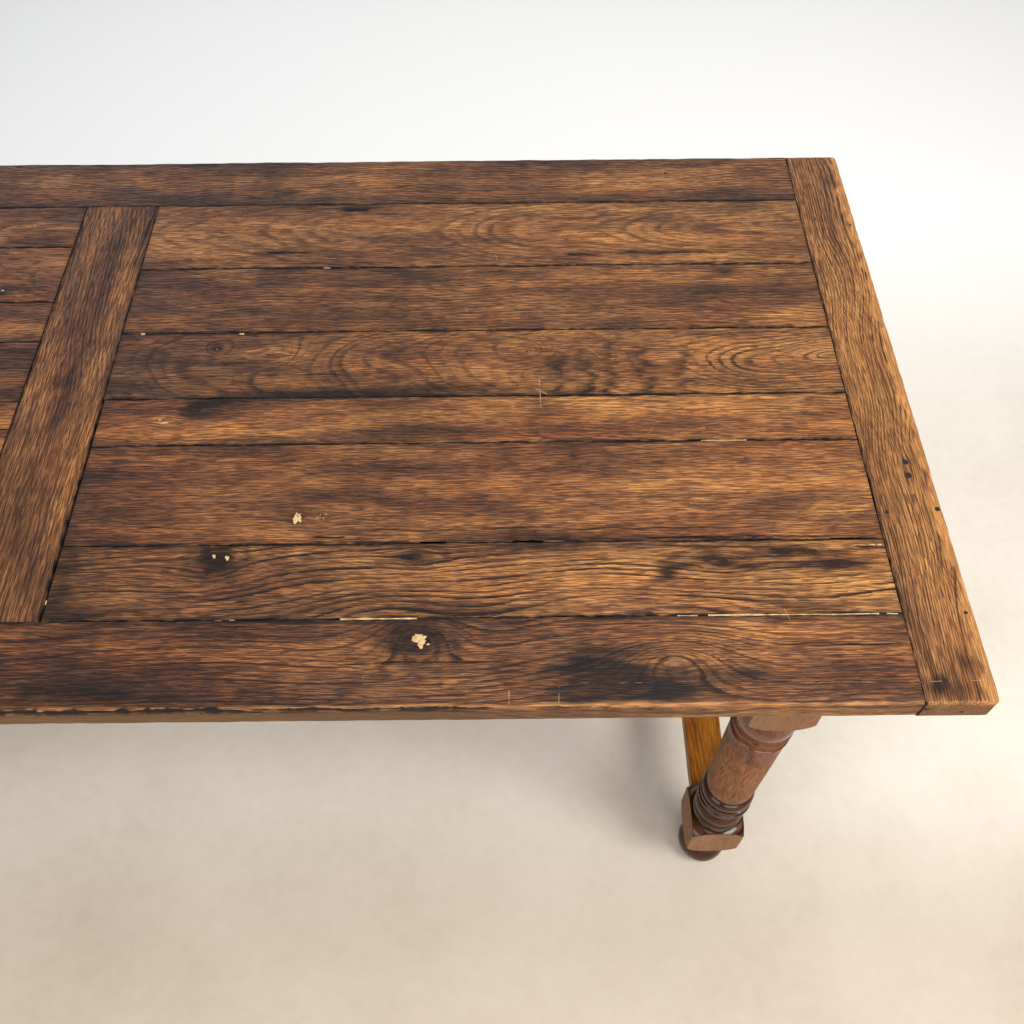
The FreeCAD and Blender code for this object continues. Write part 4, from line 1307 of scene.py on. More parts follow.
        yield Board(
            "cross_rail", self.field_front + 0.0002, self.field_back - 0.0002, -self.cross_half,
            self.cross_half, ON_TOP_ACROSS,
            Growth(0.32, 0.06, 0.02, 0.03, 0.006, 0.008), 33, tone=-0.1, figure=0.6, red=0, still=0.15,
            arris=(0.0008, 0.0008), edge_wear=(0.25, 0.25), tongue=(0.042, 0.042), tongue_width=0.064,
            edge_stain=(0.15, 0.35), edge_dirt=(0.12, 0.4),
            cracks=Crack.rows((206, 343.6, -39.5, 1.3, 3, -10, 0.85), (20, 27, -2, 1, 1)),
            stains=Stain.rows(
                (8, 3, 12, 16, 0.55), (73, -22, 12, 16, 0.45), (256, -12, 10, 16, 0.4),
                (-200, 10, 100, 10, 0.3), (-60, -30, 60, 6, 0.35), (150, 30, 60, 8, 0.3),
                (310, -45, 50, 6, 0.35),
            ),
        )
        yield Board(
            "right_end_board", -HALF_DEPTH, HALF_DEPTH, -HALF_LENGTH, -self.rail_end, ON_TOP_ACROSS,
            Growth(-1.09, 0.045, 0.02, -0.03, 0.0032, 0.006), 34, tone=0.04, figure=1, red=0, still=0.5,
            arris=(0.0036, 0.0007), edge_wear=(1, 0.2), end_arris=0.003, corner=(0.0055, 0),
            changes=((-0.44, 0.04, 1), (-0.15, 0.09, 1), (0.05, 0.14, 1), (0.3, 0.04, 1.2)),
            edge_stain=(0, 0.35), worn_reach=0.019, open_ends=True, side_rows=9,
            knots=Knot.rows(
                (285, -1052, 9, 22, 4.2, 2.6, 0.25), (-136.8, -1034.6, 3.5, 4, 3, 1.5, 0.6),
                (-156.1, -1033.3, 4, 4, 3, 1.5, 0.6),
            ),
            cracks=Crack.rows((-300, -200, -996, 0.8, 1, 1, 0.4)),
            stains=Stain.rows(
                (-431.1, -1020, 10, 30), (-418.3, -1010, 6, 6, 0.7), (-398, -1034, 8, 10, 0.45),
                (384, -1038, 12, 12, 0.5), (420, -1000, 12, 10, 0.45), (-425, -1000, 12, 12, 0.5),
                (-360, -995, 60, 6, 0.3), (-402, -1044, 16, 12, 0.5), (-404, -1012, 12, 12, 0.4),
            ),
        )
        yield Board(
            "left_end_board", -HALF_DEPTH, HALF_DEPTH, self.rail_end, HALF_LENGTH, ON_TOP_ACROSS,
            Growth(0.9, 0.07, 0.03, 0.04, 0.0055, 0.007), 35, figure=0.5, red=0.1, still=0.3,
            arris=(0.0007, 0.0034), edge_wear=(0.2, 0.9), end_arris=0.0028, corner=(0, 0.009),
            edge_stain=(0.35, 0), open_ends=True, side_rows=9,
            knots=Knot.rows((180, 1020, 7, 14, 3.4, 2.2, 0.7)),
            stains=Stain.rows(
                (-420, 1020, 14, 30, 0.5), (400, 1030, 20, 20, 0.4), (-100, 1020, 50, 12, 0.25),
            ),
        )

    def build(self) -> None:
        """Build and dress every board of the top."""
        material = self.finish.material()
        for board in (*self.right_field(), *self.left_field(), *self.frame_boards()):
            dress(board.build(), board.slot, material, board.name)


@dataclass(frozen=True)
class Strip(Rows):
    """A length of a seam and what lies in it, from one place on the top to another."""

    LENGTHS = 7
    DEPTH: ClassVar[float] = 0.018
    STEP: ClassVar[float] = 0.004

    x: float
    y: float
    end_x: float
    end_y: float
    width: float
    low: float = -0.00022
    high: float = 0.00012

    def loft(self, seed: int) -> tuple[Array, Faces]:
        """Loft the strip along its seam.

        Args:
            seed: number that fixes its uneven top.

        Returns:
            Its points and faces.
        """
        start, way = np.array([self.x, self.y]), np.array([self.end_x - self.x, self.end_y - self.y])
        length = float(np.linalg.norm(way))
        share = np.linspace(0, 1, max(2, int(length / self.STEP)) + 1)
        run = share * length
        swing = 0.5 + 0.5 * np.clip(Wander(seed, 0.02)(run) + Wander(seed + 1, 0.09)(run), -1, 1)
        top = TOP_FACE + self.low + (self.high - self.low) * swing
        half = 0.5 * self.width * np.clip(0.78 + 0.35 * Wander(seed + 2, 0.03)(run), 0.35, 1.1)
        across = np.array([-way[1], way[0]]) / length * half[:, None]
        line, foot = start + way * share[:, None], np.full_like(top, TOP_FACE - self.DEPTH)
        corners = ((line - across, top), (line + across, top), (line + across, foot), (line - across, foot))
        ring = np.stack([np.column_stack(corner) for corner in corners], axis=1).reshape(-1, 3)
        faces, caps = shell(len(run), 4)[1:]
        return ring, faces + caps


@dataclass(frozen=True)
class Patch(Rows):
    """A low patch of filler with a ragged outline: middle, half sizes, points and how spiky."""

    x: float
    y: float
    half_x: float
    half_y: float
    points: int
    spiky: float

    def build(self, seed: int) -> bpy.types.Object:
        """Make the patch.

        Args:
            seed: number that fixes its outline.

        Returns:
            The patch.
        """
        dice = np.random.default_rng(seed)
        angles = np.linspace(0, math.tau, self.points, endpoint=False)
        radius = 0.72 + 0.16 * np.sin(2 * angles + dice.uniform(0, 6))
        radius = radius + 0.14 * np.sin(3 * angles + dice.uniform(0, 6))
        radius = radius + self.spiky * np.clip(dice.normal(0, 0.5, self.points), -0.6, 1.4)
        radius = np.clip(radius, 0.22, 1.5)
        rings, levels = [], (-0.0014, -0.00025, -0.00005, 0.00004, -0.00008)
        for share, height in zip((1.0, 1.0, 0.86, 0.5, 0.12), levels):
            x = self.x + self.half_x * radius * share * np.cos(angles)
            y = self.y + self.half_y * radius * share * np.sin(angles)
            rings.append(np.column_stack([x, y, np.full(self.points, TOP_FACE + height)]))
        faces, caps = shell(len(rings), self.points)[1:]
        return solid(f"filler_patch_{seed}", np.concatenate(rings), faces + caps, {})


@dataclass
class Seams:
    """What lies in and beside the seams: dirt, lines and patches of filler, scratches."""

    dirt: PlainFinish = SEAM_DIRT
    filler: PlainFinish = FILLER
    scratch: PlainFinish = SCRATCHED
    right_lines: tuple[float, ...] = (209.9, 87.2, -26.4, -100.6, -243.9)
    left_lines: tuple[float, ...] = (257.3, 148.4, 73.8, -27.8, -71.8, -209.9)

    def gather(self, name: str, strips: tuple[Strip, ...], seed: int, material: bpy.types.Material) -> None:
        """Join strips into one piece that rides on the table.

        Args:
            name: the piece's name.
            strips: the strips.
            seed: number that fixes their uneven tops.
            material: their finish.
        """
        places, faces, total = [], [], 0
        for number, strip in enumerate(strips):
            ring, quads = strip.loft(seed + 5 * number)
            places.append(ring)
            faces += [[corner + total for corner in face] for face in quads]
            total += len(ring)
        dress(solid(name, np.concatenate(places), faces, {}), Slot.TOP, material)

    def dirt_strips(self) -> tuple[Strip, ...]:
        """Give a strip of dirt for each seam.

        Returns:
            The strips.
        """
        rows = [(56, line, 984, line, 1.1, -3.5, -0.9) for line in self.right_lines]
        rows += [(-984, line, -53, line, 1.1, -3.5, -0.9) for line in self.left_lines]
        for line, edge in ((-339.8, -340.1), (343.8, 343.9)):
            rows += [(53, line, 985, edge, 0.9, -3, -0.8), (-985, edge, -53, line, 0.9, -3, -0.8)]
        return Strip.rows(*rows, (53.8, -339, 53.8, -27, 2.4, -6, -4))

    def filler_strips(self) -> tuple[Strip, ...]:
        """Give the lines of filler in the seams.

        Returns:
            The strips.
        """
        return Strip.rows(
            (377.8, -339.8, 461, -340, 2, -0.4, 0.1), (775, -339.8, 959.3, -340, 1.7, -0.5, 0.1),
            (742, -339.8, 764, -339.9, 1.2, -0.7, 0), (968, -339.8, 980, -339.9, 1.2, -0.7, 0),
            (243, -339.8, 250, -339.9, 0.6, -1.2, -0.1), (259, -339.8, 264, -339.9, 0.6, -1.2, -0.1),
            (966, -252.2, 983.5, -252.6, 1.4, -0.4, 0.2), (947, -251.9, 956, -252.1, 1, -0.4, 0.1),
            (78, 86.5, 83, 86.5, 3, -0.4, 0.1), (208, 85, 214, 85, 4.6, -0.4, 0.1),
            (795, -100.6, 850, -100.6, 1, -0.6, 0), (306, 209.9, 316, 209.9, 0.9, -0.6, 0),
            (54.6, -318, 54.2, -313, 1.4, -1, -0.2),
        )

    def scratches(self) -> tuple[Strip, ...]:
        """Give the pale scratches in the wax.

        Returns:
            The strips.
        """
        return Strip.rows(
            (600.7, 3.9, 602, -45.7, 0.8), (596, -15, 610, -25, 0.6), (664.4, 55, 686.4, 31.9, 0.6),
            (611.4, -417.1, 610.5, -439.5, 0.8), (611.4, -417.1, 700, -417.8, 0.3),
            (860, -419, 986, -420, 0.3), (987, -419.6, 1056, -418.7, 0.4),
            (559.6, -424.4, 559.5, -439.5, 0.7), (858, -333, 862, -346, 0.6), (-119, 308, -117, 292, 0.7),
            (545, 234, 548, 221, 0.5), (503, 133, 508, 121, 0.5), (883, -172, 896, -176, 0.6),
            (904, -154, 900, -166, 0.5), (-620, 120, -550, 160, 0.6), (-400, -250, -380, -310, 0.6),
            (730, -92, 746, -70, 0.4),
        )

    def patches(self) -> tuple[Patch, ...]:
        """Give the patches of filler in the knots and bruises.

        Returns:
            The patches.
        """
        return Patch.rows(
            (465.2, -366.5, 9.8, 11, 26, 0.34), (316.8, -207.2, 6.2, 13.8, 26, 0.3),
            (339.5, -208.5, 1.2, 2.8, 9, 0.2), (343.2, -204, 1, 3, 9, 0.2), (347.8, -209.5, 1.4, 2.6, 9, 0.2),
            (350, -203, 0.8, 3.6, 9, 0.2), (229.2, -258.8, 3, 3, 13, 0.2), (244.6, -261.2, 2.6, 4.6, 15, 0.3),
            (137.8, -64.5, 8, 1.8, 17, 0.3), (131, -60, 3, 1.6, 11, 0.3), (182.8, 57.4, 1.2, 1.4, 8, 0.1),
            (408, -409.2, 1, 1.2, 8, 0.1), (-128.3, 171.2, 3, 1.4, 9, 0.3), (474.5, -371.2, 4, 1.4, 11, 0.3),
        )

    def build(self) -> None:
        """Build and dress everything in the seams."""
        self.gather("seam_dirt", self.dirt_strips(), 400, self.dirt.material())
        filler = self.filler.material()
        self.gather("seam_filler", self.filler_strips(), 700, filler)
        for number, patch in enumerate(self.patches(), start=1):
            dress(patch.build(number), Slot.TOP, filler)
        self.gather("scratches", self.scratches(), 900, self.scratch.material())


@dataclass(frozen=True)
class Turn(Rows):
    """One stretch of a turned profile, up to a height and a radius."""

    LENGTHS = 3

    height: float
    radius: float
    bulge: float
    points: int


@dataclass
class TurnedLeg:
    """A leg turned from a square post: bun foot, lower block, rings, shaft and upper block."""

    BLOCK: ClassVar[float] = -1.0
    SHAFT: ClassVar[float] = 0.25
    SQUARE: ClassVar[float] = 46.0
    RING: ClassVar[float] = 0.0052
    BLUR: ClassVar[int] = 16

    name: str
    x_sign: int
    y_sign: int
    seed: int
    post_corner: float = 0.0566
    start_radius: float = 0.0245
    foot: tuple[Turn, ...] = Turn.rows(
        (1.2, 26.2, 0, 2), (57, 27.4, 11.2, 30), (60, 25.2, -0.6, 4), (80, 26.2, -0.8, 8),
        (93.4, 38, -3, 12), (111, 56.6, 3, 28),
    )
    rings: tuple[Turn, ...] = Turn.rows(
        (184.1, 38, 3, 28), (185.6, 35.2, 0, 2), (188, 34.6, -0.4, 3), (206.1, 34.6, 3, 18),
        (208, 34.3, -0.4, 3), (233.5, 32.2, 4.2, 22), (240, 30.9, -0.4, 5), (248, 31, -0.3, 5),
        (256.9, 39, -2, 9), (263, 39, 0.6, 6), (264.6, 37, 0, 3), (272.4, 36.8, -0.8, 7),
        (273.9, 38.3, 0, 3), (278.4, 38.3, 0.5, 5), (279.7, 35.8, 0, 3), (298.5, 34.6, 3.1, 18),
        (301.6, 32.2, -0.4, 4), (305.2, 32.2, -0.4, 4), (308.2, 34, 0.4, 4), (311, 34.7, 0, 3),
    )
    shaft: tuple[Turn, ...] = Turn.rows(
        (519, 36.8, 0.3, 42),
    )
    neck: tuple[Turn, ...] = Turn.rows(
        (519.9, 37.9, 0, 2), (523.2, 37.9, 0.5, 5), (524.6, 36.6, 0, 2), (538.4, 36.6, -1.6, 12),
        (539.8, 37.9, 0, 2), (543, 37.9, 0.5, 5), (546.2, 36.2, -0.2, 4), (550.5, 36.2, -0.3, 4),
        (596.8, 35.2, 3.2, 30), (600.9, 38, -0.3, 5), (618.5, 56.6, 3, 28),
    )

    def profile(self) -> tuple[Array, Array, Array]:
        """Follow the profile upwards.

        Returns:
            The heights, the radii, and for each one how glossy the turning is.
        """
        height, radius = 0.0, self.start_radius
        points = [(height, radius, 0.3)]
        blocks = Turn(0.1665, self.post_corner, 0.0, 16), Turn(UNDER_TOP, self.post_corner, 0.0, 26)
        for turns, shine in (
            (self.foot, 0.75), (blocks[:1], self.BLOCK), (self.rings, 1.0), (self.shaft, self.SHAFT),
            (self.neck, 0.95), (blocks[1:], self.BLOCK),
        ):
            for turn in turns:
                rise, reach = turn.height - height, turn.radius - radius
                length = math.hypot(rise, reach)
                for share in (step / turn.points for step in range(1, turn.points + 1)):
                    bow = turn.bulge * (1 - (2 * share - 1) ** 2)
                    up, out = rise * share - bow * reach / length, reach * share + bow * rise / length
                    points.append((height + up, radius + out, shine))
                height, radius = turn.height, turn.radius
        heights, radii, gloss = np.array(points).T
        return heights, radii, gloss

    def angles(self) -> Array:
        """Place the points round the leg, closer together near the arrises.

        Returns:
            Their angles.
        """
        face = np.arctan(np.linspace(-1, 1, 37))
        extra = np.radians([43.2, 44.3])
        quarter = np.sort(np.concatenate([face[:-1], extra, -extra]))
        return np.concatenate([quarter + math.pi / 2 * number for number in range(4)])

    def build(self) -> bpy.types.Object:
        """Turn the leg.

        Returns:
            The leg's object, not yet dressed.
        """
        heights, radii, gloss = self.profile()
        angles, keep = self.angles(), self.SQUARE
        across, behind = np.cos(angles), np.sin(angles)
        square = LEG_HALF / (np.abs(across) ** keep + np.abs(behind) ** keep) ** (1 / keep)
        square = np.minimum(square, LEG_HALF / np.maximum(np.abs(across), np.abs(behind)))
        block = square - np.abs(0.00025 * Wander(self.seed, 0.05, 2.0)(heights[:, None], across))
        turned = np.where(gloss < 0, 1.0, radii)[:, None]
        reach, on_face = np.minimum(turned, block), (turned > block).astype(float)
        x, y = reach * across, reach * behind
        z = np.repeat(heights[:, None], len(angles), axis=1)
        faces, caps = shell(*x.shape)[1:]
        values = self.wood(x, y, z, on_face, (heights, radii, gloss))
        places = np.stack([x + self.x_sign * LEG_X, y + self.y_sign * LEG_Y, z], axis=-1).reshape(-1, 3)
        return solid(self.name, places, faces + caps, values)

    def wood(
        self, x: Array, y: Array, z: Array, on_face: Array, profile: tuple[Array, Array, Array],
    ) -> dict[str, Array]:
        """Work out the wood at each point of the leg, by its height and its place round it, with painted
        shade on its left side, and partly painted shade on its lower turnings and in its hollows.

        Args:
            x: places across from the leg's axis.
            y: places behind the leg's axis.
            z: heights.
            on_face: 1 on the flat faces of the blocks.
            profile: heights, radii and gloss of the profile.

        Returns:
            The log's directions, the rings, and the stain, wear, grime, tone and gloss; the stain, grime and
            tone carry painted shade too, and so does the extra grey of the left block faces.
        """
        heights, radii, gloss = profile
        smooth_at = np.linspace(0, UNDER_TOP, 1500)
        plain = np.interp(smooth_at, heights, np.minimum(radii, 0.042))
        kernel = np.exp(-np.linspace(-2, 2, 2 * self.BLUR + 1) ** 2)
        blurred = np.convolve(np.pad(plain, self.BLUR, "edge"), kernel / kernel.sum(), "valid")
        hollow = np.interp(heights, smooth_at, blurred - plain)[:, None]
        heights, gloss, off_face = heights[:, None], gloss[:, None], 1 - on_face
        shaft, ringed = gloss == self.SHAFT, gloss > 0.5
        low_fade = ease(0.345, 0.312, heights) * 0.5 + ease(0.455, 0.517, heights)
        shine = np.where(shaft, np.clip(0.1 + 0.4 * low_fade, 0, 1), np.clip(gloss, 0, None))
        mottle = 0.5 + 0.5 * Wander(self.seed + 3, 0.07, 0.05)(z, x + y)
        red = np.where(shaft, ease(0.45, 0.517, heights), np.where(ringed, 1.0, 0.0))
        # Painted shade: side grows to 1 on the leg's left-facing side; it darkens the left side below 0.3 m
        # and greys the left block faces.
        side = np.clip(-x / LEG_HALF, 0, 1)
        stain_and_shade = red * off_face * (0.75 + 0.25 * mottle) + 0.05 * mottle + 0.12 * side * (z < 0.3)
        # Tone by height: the foot, the lower block and the lower turnings are darker, partly from their own
        # colour and partly from painted shade, and so is the shoulder under the upper block.
        spots = (0.0, 0.11, 0.17, 0.306, 0.315, 0.36, 0.45, 0.525, 0.60, 0.62)
        tone = np.interp(z, spots, (-0.48, -0.36, -0.46, -0.46, -0.16, -0.06, -0.06, -0.08, -0.06, -0.26))
        tone = tone - 0.14 * np.clip(Wander(self.seed + 9, 0.03, 0.04)(z, x - y), 0, 1.4) * (red > 0.4)
        pith = np.hypot(x - 0.022 * self.x_sign, y + 0.03 * self.y_sign)
        wear = np.clip(-hollow / 0.0012, 0, 1) * ringed * 0.35 * off_face * mottle
        block_edge = ease(0.0355, 0.0395, np.minimum(np.abs(x), np.abs(y))) * on_face
        return {
            "grain": np.stack([z + self.seed * 0.23, x + self.seed * 0.1, y], axis=-1),
            "ring": (pith + 0.003 * Wander(self.seed + 7, 0.3, 0.08)(z, x)) / self.RING,
            "stain_and_shade": np.clip(stain_and_shade, 0, 1), "wear": np.clip(np.maximum(wear, 0.5 * block_edge), 0, 1),
            # The hollows of the turnings are darkened: dirt and painted shade.
            "grime_and_shade": np.clip(hollow / 0.0016, 0, 1) * ringed * 0.75 * off_face,
            "tone": tone * off_face - 0.01 * on_face, "figure": np.ones_like(z), "red": np.zeros_like(z),
            # The block faces are bare; their extra grey on the left side is painted shade.
            "raw_and_painted_light": on_face * (0.45 + 0.3 * side), "gloss": np.clip(shine * off_face, 0, 1),
        }


@dataclass
class UnderFrame:
    """Everything that joins the legs: aprons, bearer, stretchers and glue blocks."""

    apron_low: float = 0.638
    apron_half: float = 0.045
    apron_face: float = 0.4005
    end_apron_face: float = 0.9065
    stretcher_top: float = 0.158
    stretcher_half: float = 0.029

    def aprons(self) -> Iterator[Board]:
        """Give the four aprons and the bearer, with their faces outwards.

        Returns:
            The boards.
        """
        middle, half = self.apron_low + self.apron_half, self.apron_half
        common = {
            "slot": Slot.APRON, "thick": 0.022, "arris": (0.0012, 0.0008), "edge_wear": (0.5, 0.1),
            "tongue_width": 0.062, "row": 0.004, "step": 0.008, "end_arris": 0.0003, "side_rows": 4,
        }
        for name, side, seed in (("front_apron", -1, 41), ("back_apron", 1, 42)):
            end = LEG_X - LEG_HALF
            pose = Pose((0.0, side * self.apron_face, middle), (-side, 0, 0), (0, 0, 1))
            yield Board(
                name, -end, end, -half, half, pose, Growth(-0.12 * side, 0.05, 0.02, 0.01, 0.0058, 0.006),
                seed, tongue=(0.034, 0.034),
                knots=Knot.rows((-310, 12, 9, 14, 3, 2), (420, -16, 7, 12, 3, 2, 0.7)),
                stains=Stain.rows((100, 20, 150, 20, 0.3), (-600, -10, 100, 20, 0.3)), **common,
            )
        for name, side, seed in (("right_apron", 1, 43), ("left_apron", -1, 44)):
            end = LEG_Y - LEG_HALF
            pose = Pose((side * self.end_apron_face, 0.0, middle), (0, side, 0), (0, 0, 1))
            yield Board(
                name, -end, end, -half, half, pose, Growth(0.1 * side, 0.04, 0.03, 0.0, 0.0055, 0.006),
                seed, tongue=(0.034, 0.034), knots=Knot.rows((120 * side, 10, 8, 12, 3, 2, 0.75)),
                stains=Stain.rows((-150, 0, 100, 20, 0.3)), **common,
            )
        bearer = dict(common, thick=0.060, tongue_width=0.022, tongue_thick=0.036, arris=(0.001, 0.001))
        pose = Pose((0.0, 0.0, UNDER_TOP), (0, 1, 0), (-1, 0, 0))
        yield Board(
            "cross_bearer", -0.3785, 0.3785, -0.025, 0.025, pose, Growth(0.1, 0.06, 0.02, 0.0, 0.0060, 0.005),
            45, tongue=(0.012, 0.012), **bearer,
        )

    def stretchers(self) -> Iterator[Board]:
        """Give the two end stretchers and the long one between them.

        Returns:
            The boards.
        """
        half, top = self.stretcher_half, self.stretcher_top
        # The high bare share greys the sides and underside: a painted reflection of the pale floor.
        common = {
            "slot": Slot.STRETCHER, "thick": 0.031, "arris": (0.0024, 0.0024), "edge_wear": (0.25, 0.25),
            "row": 0.002, "end_arris": 0.0003, "side_rows": 7, "bare_and_painted_light": ((0.0, 0.9),),
        }
        for name, side, seed in (("right_stretcher", 1, 51), ("left_stretcher", -1, 52)):
            end, pose = LEG_Y - LEG_HALF, Pose((side * LEG_X, 0.0, top), (0, 1, 0), (-1, 0, 0))
            yield Board(
                name, -end, end, -half, half, pose, Growth(0.07 * side, 0.05, 0.03, 0.01, 0.0052, 0.005),
                seed, tongue=(0.036, 0.036), tongue_thick=0.025, tongue_width=0.018,
                stains=Stain.rows((-220, 14, 60, 6, 0.35), (-280, -12, 30, 6, 0.3)), **common,
            )
        end = LEG_X - half
        yield Board(
            "centre_stretcher", -end, end, -half, half, Pose((0.0, 0.0, top)),
            Growth(-0.06, 0.04, 0.02, 0.01, 0.0056, 0.005), 53, tongue=(0.034, 0.034), tongue_thick=0.012,
            tongue_width=0.038, knots=Knot.rows((250, 8, 7, 10, 3, 2, 0.7), (-500, -10, 6, 10, 3, 2, 0.7)),
            stains=Stain.rows((0, 0, 150, 12, 0.3)), **common,
        )

    def build(self) -> None:
        """Build and dress the frame under the top."""
        for finish, boards in ((APRON_OAK, self.aprons()), (STRETCHER_OAK, self.stretchers())):
            material = finish.material()
            for board in boards:
                dress(board.build(), board.slot, material, board.name)
        slots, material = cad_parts["glue_blocks"].data.materials, BLOCK_OAK.material()
        for number in range(len(slots)):
            slots[number] = material
        if not slots:
            slots.append(material)
        LOG.info("glue_blocks: kept from the part")


class PointRule(Graph):
    """A rule that sets one many-sided plug at every point, facing the way the point says."""

    def __init__(self, name: str, sides: int, taper: float, rings: int, spread: Pair) -> None:
        """Build the rule's node tree.

        Args:
            name: its name.
            sides: sides of the plug.
            taper: radius of its head as a share of that of its foot.
            rings: rows of faces along it.
            spread: smallest and largest scale.
        """
        super().__init__(bpy.data.node_groups.new(name, "GeometryNodeTree"))
        face = self.tree.interface
        kinds = {"Geometry": "Geometry", "Radius": "Float", "Length": "Float", "Finish": "Material"}
        for label, kind in kinds.items():
            face.new_socket(label, in_out="INPUT", socket_type=f"NodeSocket{kind}")
        face.new_socket("Geometry", in_out="OUTPUT", socket_type="NodeSocketGeometry")
        start = self.add("NodeGroupInput", {}).outputs
        narrow = self.add("ShaderNodeMath", {0: start["Radius"], 1: taper}, operation="MULTIPLY")
        body = self.add("GeometryNodeMeshCone", {
            "Vertices": sides, "Side Segments": rings, "Radius Bottom": start["Radius"],
            "Radius Top": narrow.outputs[0], "Depth": start["Length"],
        })
        way = self.add("GeometryNodeInputNamedAttribute", {"Name": "way"}, data_type="FLOAT_VECTOR")
        turned = self.add("FunctionNodeAlignRotationToVector", {"Vector": way.outputs["Attribute"]}, axis="Z")
        sizes = {2: spread[0], 3: spread[1], "Seed": 7}
        scale = self.add("FunctionNodeRandomValue", sizes, data_type="FLOAT")
        plugs = self.add("GeometryNodeInstanceOnPoints", {
            "Points": start["Geometry"], "Instance": body.outputs["Mesh"],
            "Rotation": turned.outputs["Rotation"], "Scale": scale.outputs[1],
        })
        real = self.add("GeometryNodeRealizeInstances", {0: plugs.outputs["Instances"]})
        last = self.add("GeometryNodeSetMaterial", {"Geometry": real.outputs[0], "Material": start["Finish"]})
        self.add("NodeGroupOutput", {0: last.outputs[0]})
        self.names = {item.name: item.identifier for item in face.items_tree if item.in_out == "INPUT"}

    def place(
        self, name: str, points: Plugs, radius: float, length: float, material: bpy.types.Material,
    ) -> bpy.types.Object:
        """Set a plug at every point and keep the result as a plain mesh.

        Args:
            name: the piece's name.
            points: the middle of each plug's head and the way it faces.
            radius: the plug's radius.
            length: the plug's length.
            material: its material.

        Returns:
            The piece.
        """
        mesh = bpy.data.meshes.new(f"{name}_points")
        mesh.from_pydata([tuple(spot - way * length) for spot, way in points], [], [])
        layer = mesh.attributes.new("way", "FLOAT_VECTOR", "POINT")
        layer.data.foreach_set("vector", [part for _, way in points for part in way])
        holder = shown(f"{name}_set", mesh)
        rule = holder.modifiers.new("rule", "NODES")
        rule.node_group = self.tree
        for label, value in (("Radius", radius), ("Length", length), ("Finish", material)):
            rule[self.names[label]] = value
        graph = bpy.context.evaluated_depsgraph_get()
        made = bpy.data.meshes.new_from_object(holder.evaluated_get(graph))
        holder.modifiers.remove(rule)
        bpy.data.objects.remove(holder)
        return shown(name, made)


@dataclass
class Pegs:
    """Eight-sided pegs, set by a rule: one peg shape, placed at each bored hole."""

    radius: float = 0.0048
    proud: float = 0.0006
    inset: float = 0.024
    centre_inset: float = 0.013
    heights: Triple = (0.666, 0.700, 0.1425)
    lengths: Triple = (0.0386, 0.0606, 0.0266)
    stretcher_top: float = 0.158
    finish: OakFinish = PEG_OAK

    def holes(self) -> dict[str, Plugs]:
        """List the pegs of each node.

        Returns:
            For each node, the middle of every head and the way it faces.
        """
        found: dict[str, Plugs] = {"apron_pegs": [], "stretcher_pegs": [], "centre_stretcher_pegs": []}
        out = LEG_HALF + self.proud
        for x_sign in (1, -1):
            for y_sign in (1, -1):
                for height in self.heights:
                    node = "apron_pegs" if height > self.stretcher_top else "stretcher_pegs"
                    if node == "apron_pegs":
                        spot = Vector((x_sign * (LEG_X - self.inset), y_sign * (LEG_Y + out), height))
                        found[node].append((spot, Vector((0, y_sign, 0))))
                    spot = Vector((x_sign * (LEG_X + out), y_sign * (LEG_Y - self.inset), height))
                    found[node].append((spot, Vector((x_sign, 0, 0))))
            for side in (1, -1):
                top = self.stretcher_top + self.proud
                spot = Vector((x_sign * (LEG_X - self.centre_inset), side * 0.010, top))
                found["centre_stretcher_pegs"].append((spot, Vector((0, 0, 1))))
        return found

    def build(self) -> None:
        """Set the pegs of every node."""
        material = self.finish.material()
        rule = PointRule("peg_rule", 8, 0.94, 3, (0.96, 1.0))
        for (node, pegs), length in zip(self.holes().items(), self.lengths):
            dress(rule.place(f"{node}_heads", pegs, self.radius, length, material), Slot.PEG, node=node)


@dataclass
class WormHoles:
    """Old holes in the top, stopped with dark wax, and the specks round them, set by a rule."""

    finish: PlainFinish = HOLE_DARK
    specks: int = 150
    seed: int = 90
    length: float = 0.0012
    lift: float = 0.00004
    large: tuple[Pair, ...] = ((1.0336, -0.1564), (1.0346, -0.1368), (1.0560, -0.2045), (1.0545, 0.2873))
    middling: tuple[Pair, ...] = (
        (0.9968, -0.2083), (1.0529, -0.3400), (1.0034, 0.4270), (0.5860, 0.0480), (1.0100, -0.4184),
        (1.0421, -0.1420), (0.1827, 0.0560), (0.8000, 0.4080), (0.6210, 0.4370), (-0.1270, 0.1660),
        (0.2360, -0.2790),
    )
    front: tuple[Pair, ...] = ((0.9905, 0.7455), (1.0290, 0.7375))

    def scattered(self) -> list[Pair]:
        """Choose places for the specks, a few of them close together.

        Returns:
            The places.
        """
        dice = np.random.default_rng(self.seed)
        x = dice.uniform(-0.97, 1.05, self.specks)
        y = dice.uniform(-0.43, 0.43, self.specks)
        near = dice.integers(0, self.specks, self.specks // 3)
        x[: len(near)] = np.clip(x[near] + dice.normal(0, 0.012, len(near)), -0.97, 1.05)
        y[: len(near)] = np.clip(y[near] + dice.normal(0, 0.006, len(near)), -0.43, 0.43)
        return list(zip(x.tolist(), y.tolist()))

    def build(self) -> None:
        """Set the holes on the top and in its front edge."""
        material = self.finish.material()
        rule = PointRule("hole_rule", 11, 0.82, 2, (0.75, 1.25))
        up, forward = Vector((0, 0, 1)), Vector((0, -1, 0))
        groups = (("large_holes", self.large, 0.0046), ("middling_holes", self.middling, 0.0026),
                  ("specks", self.scattered(), 0.0007))
        for name, places, radius in groups:
            points = [(Vector((x, y, TOP_FACE + self.lift)), up) for x, y in places]
            dress(rule.place(name, points, radius, self.length, material), Slot.TOP)
        points = [(Vector((x, -HALF_DEPTH - 0.0001, z)), forward) for x, z in self.front]
        dress(rule.place("front_holes", points, 0.0030, self.length, material), Slot.TOP)


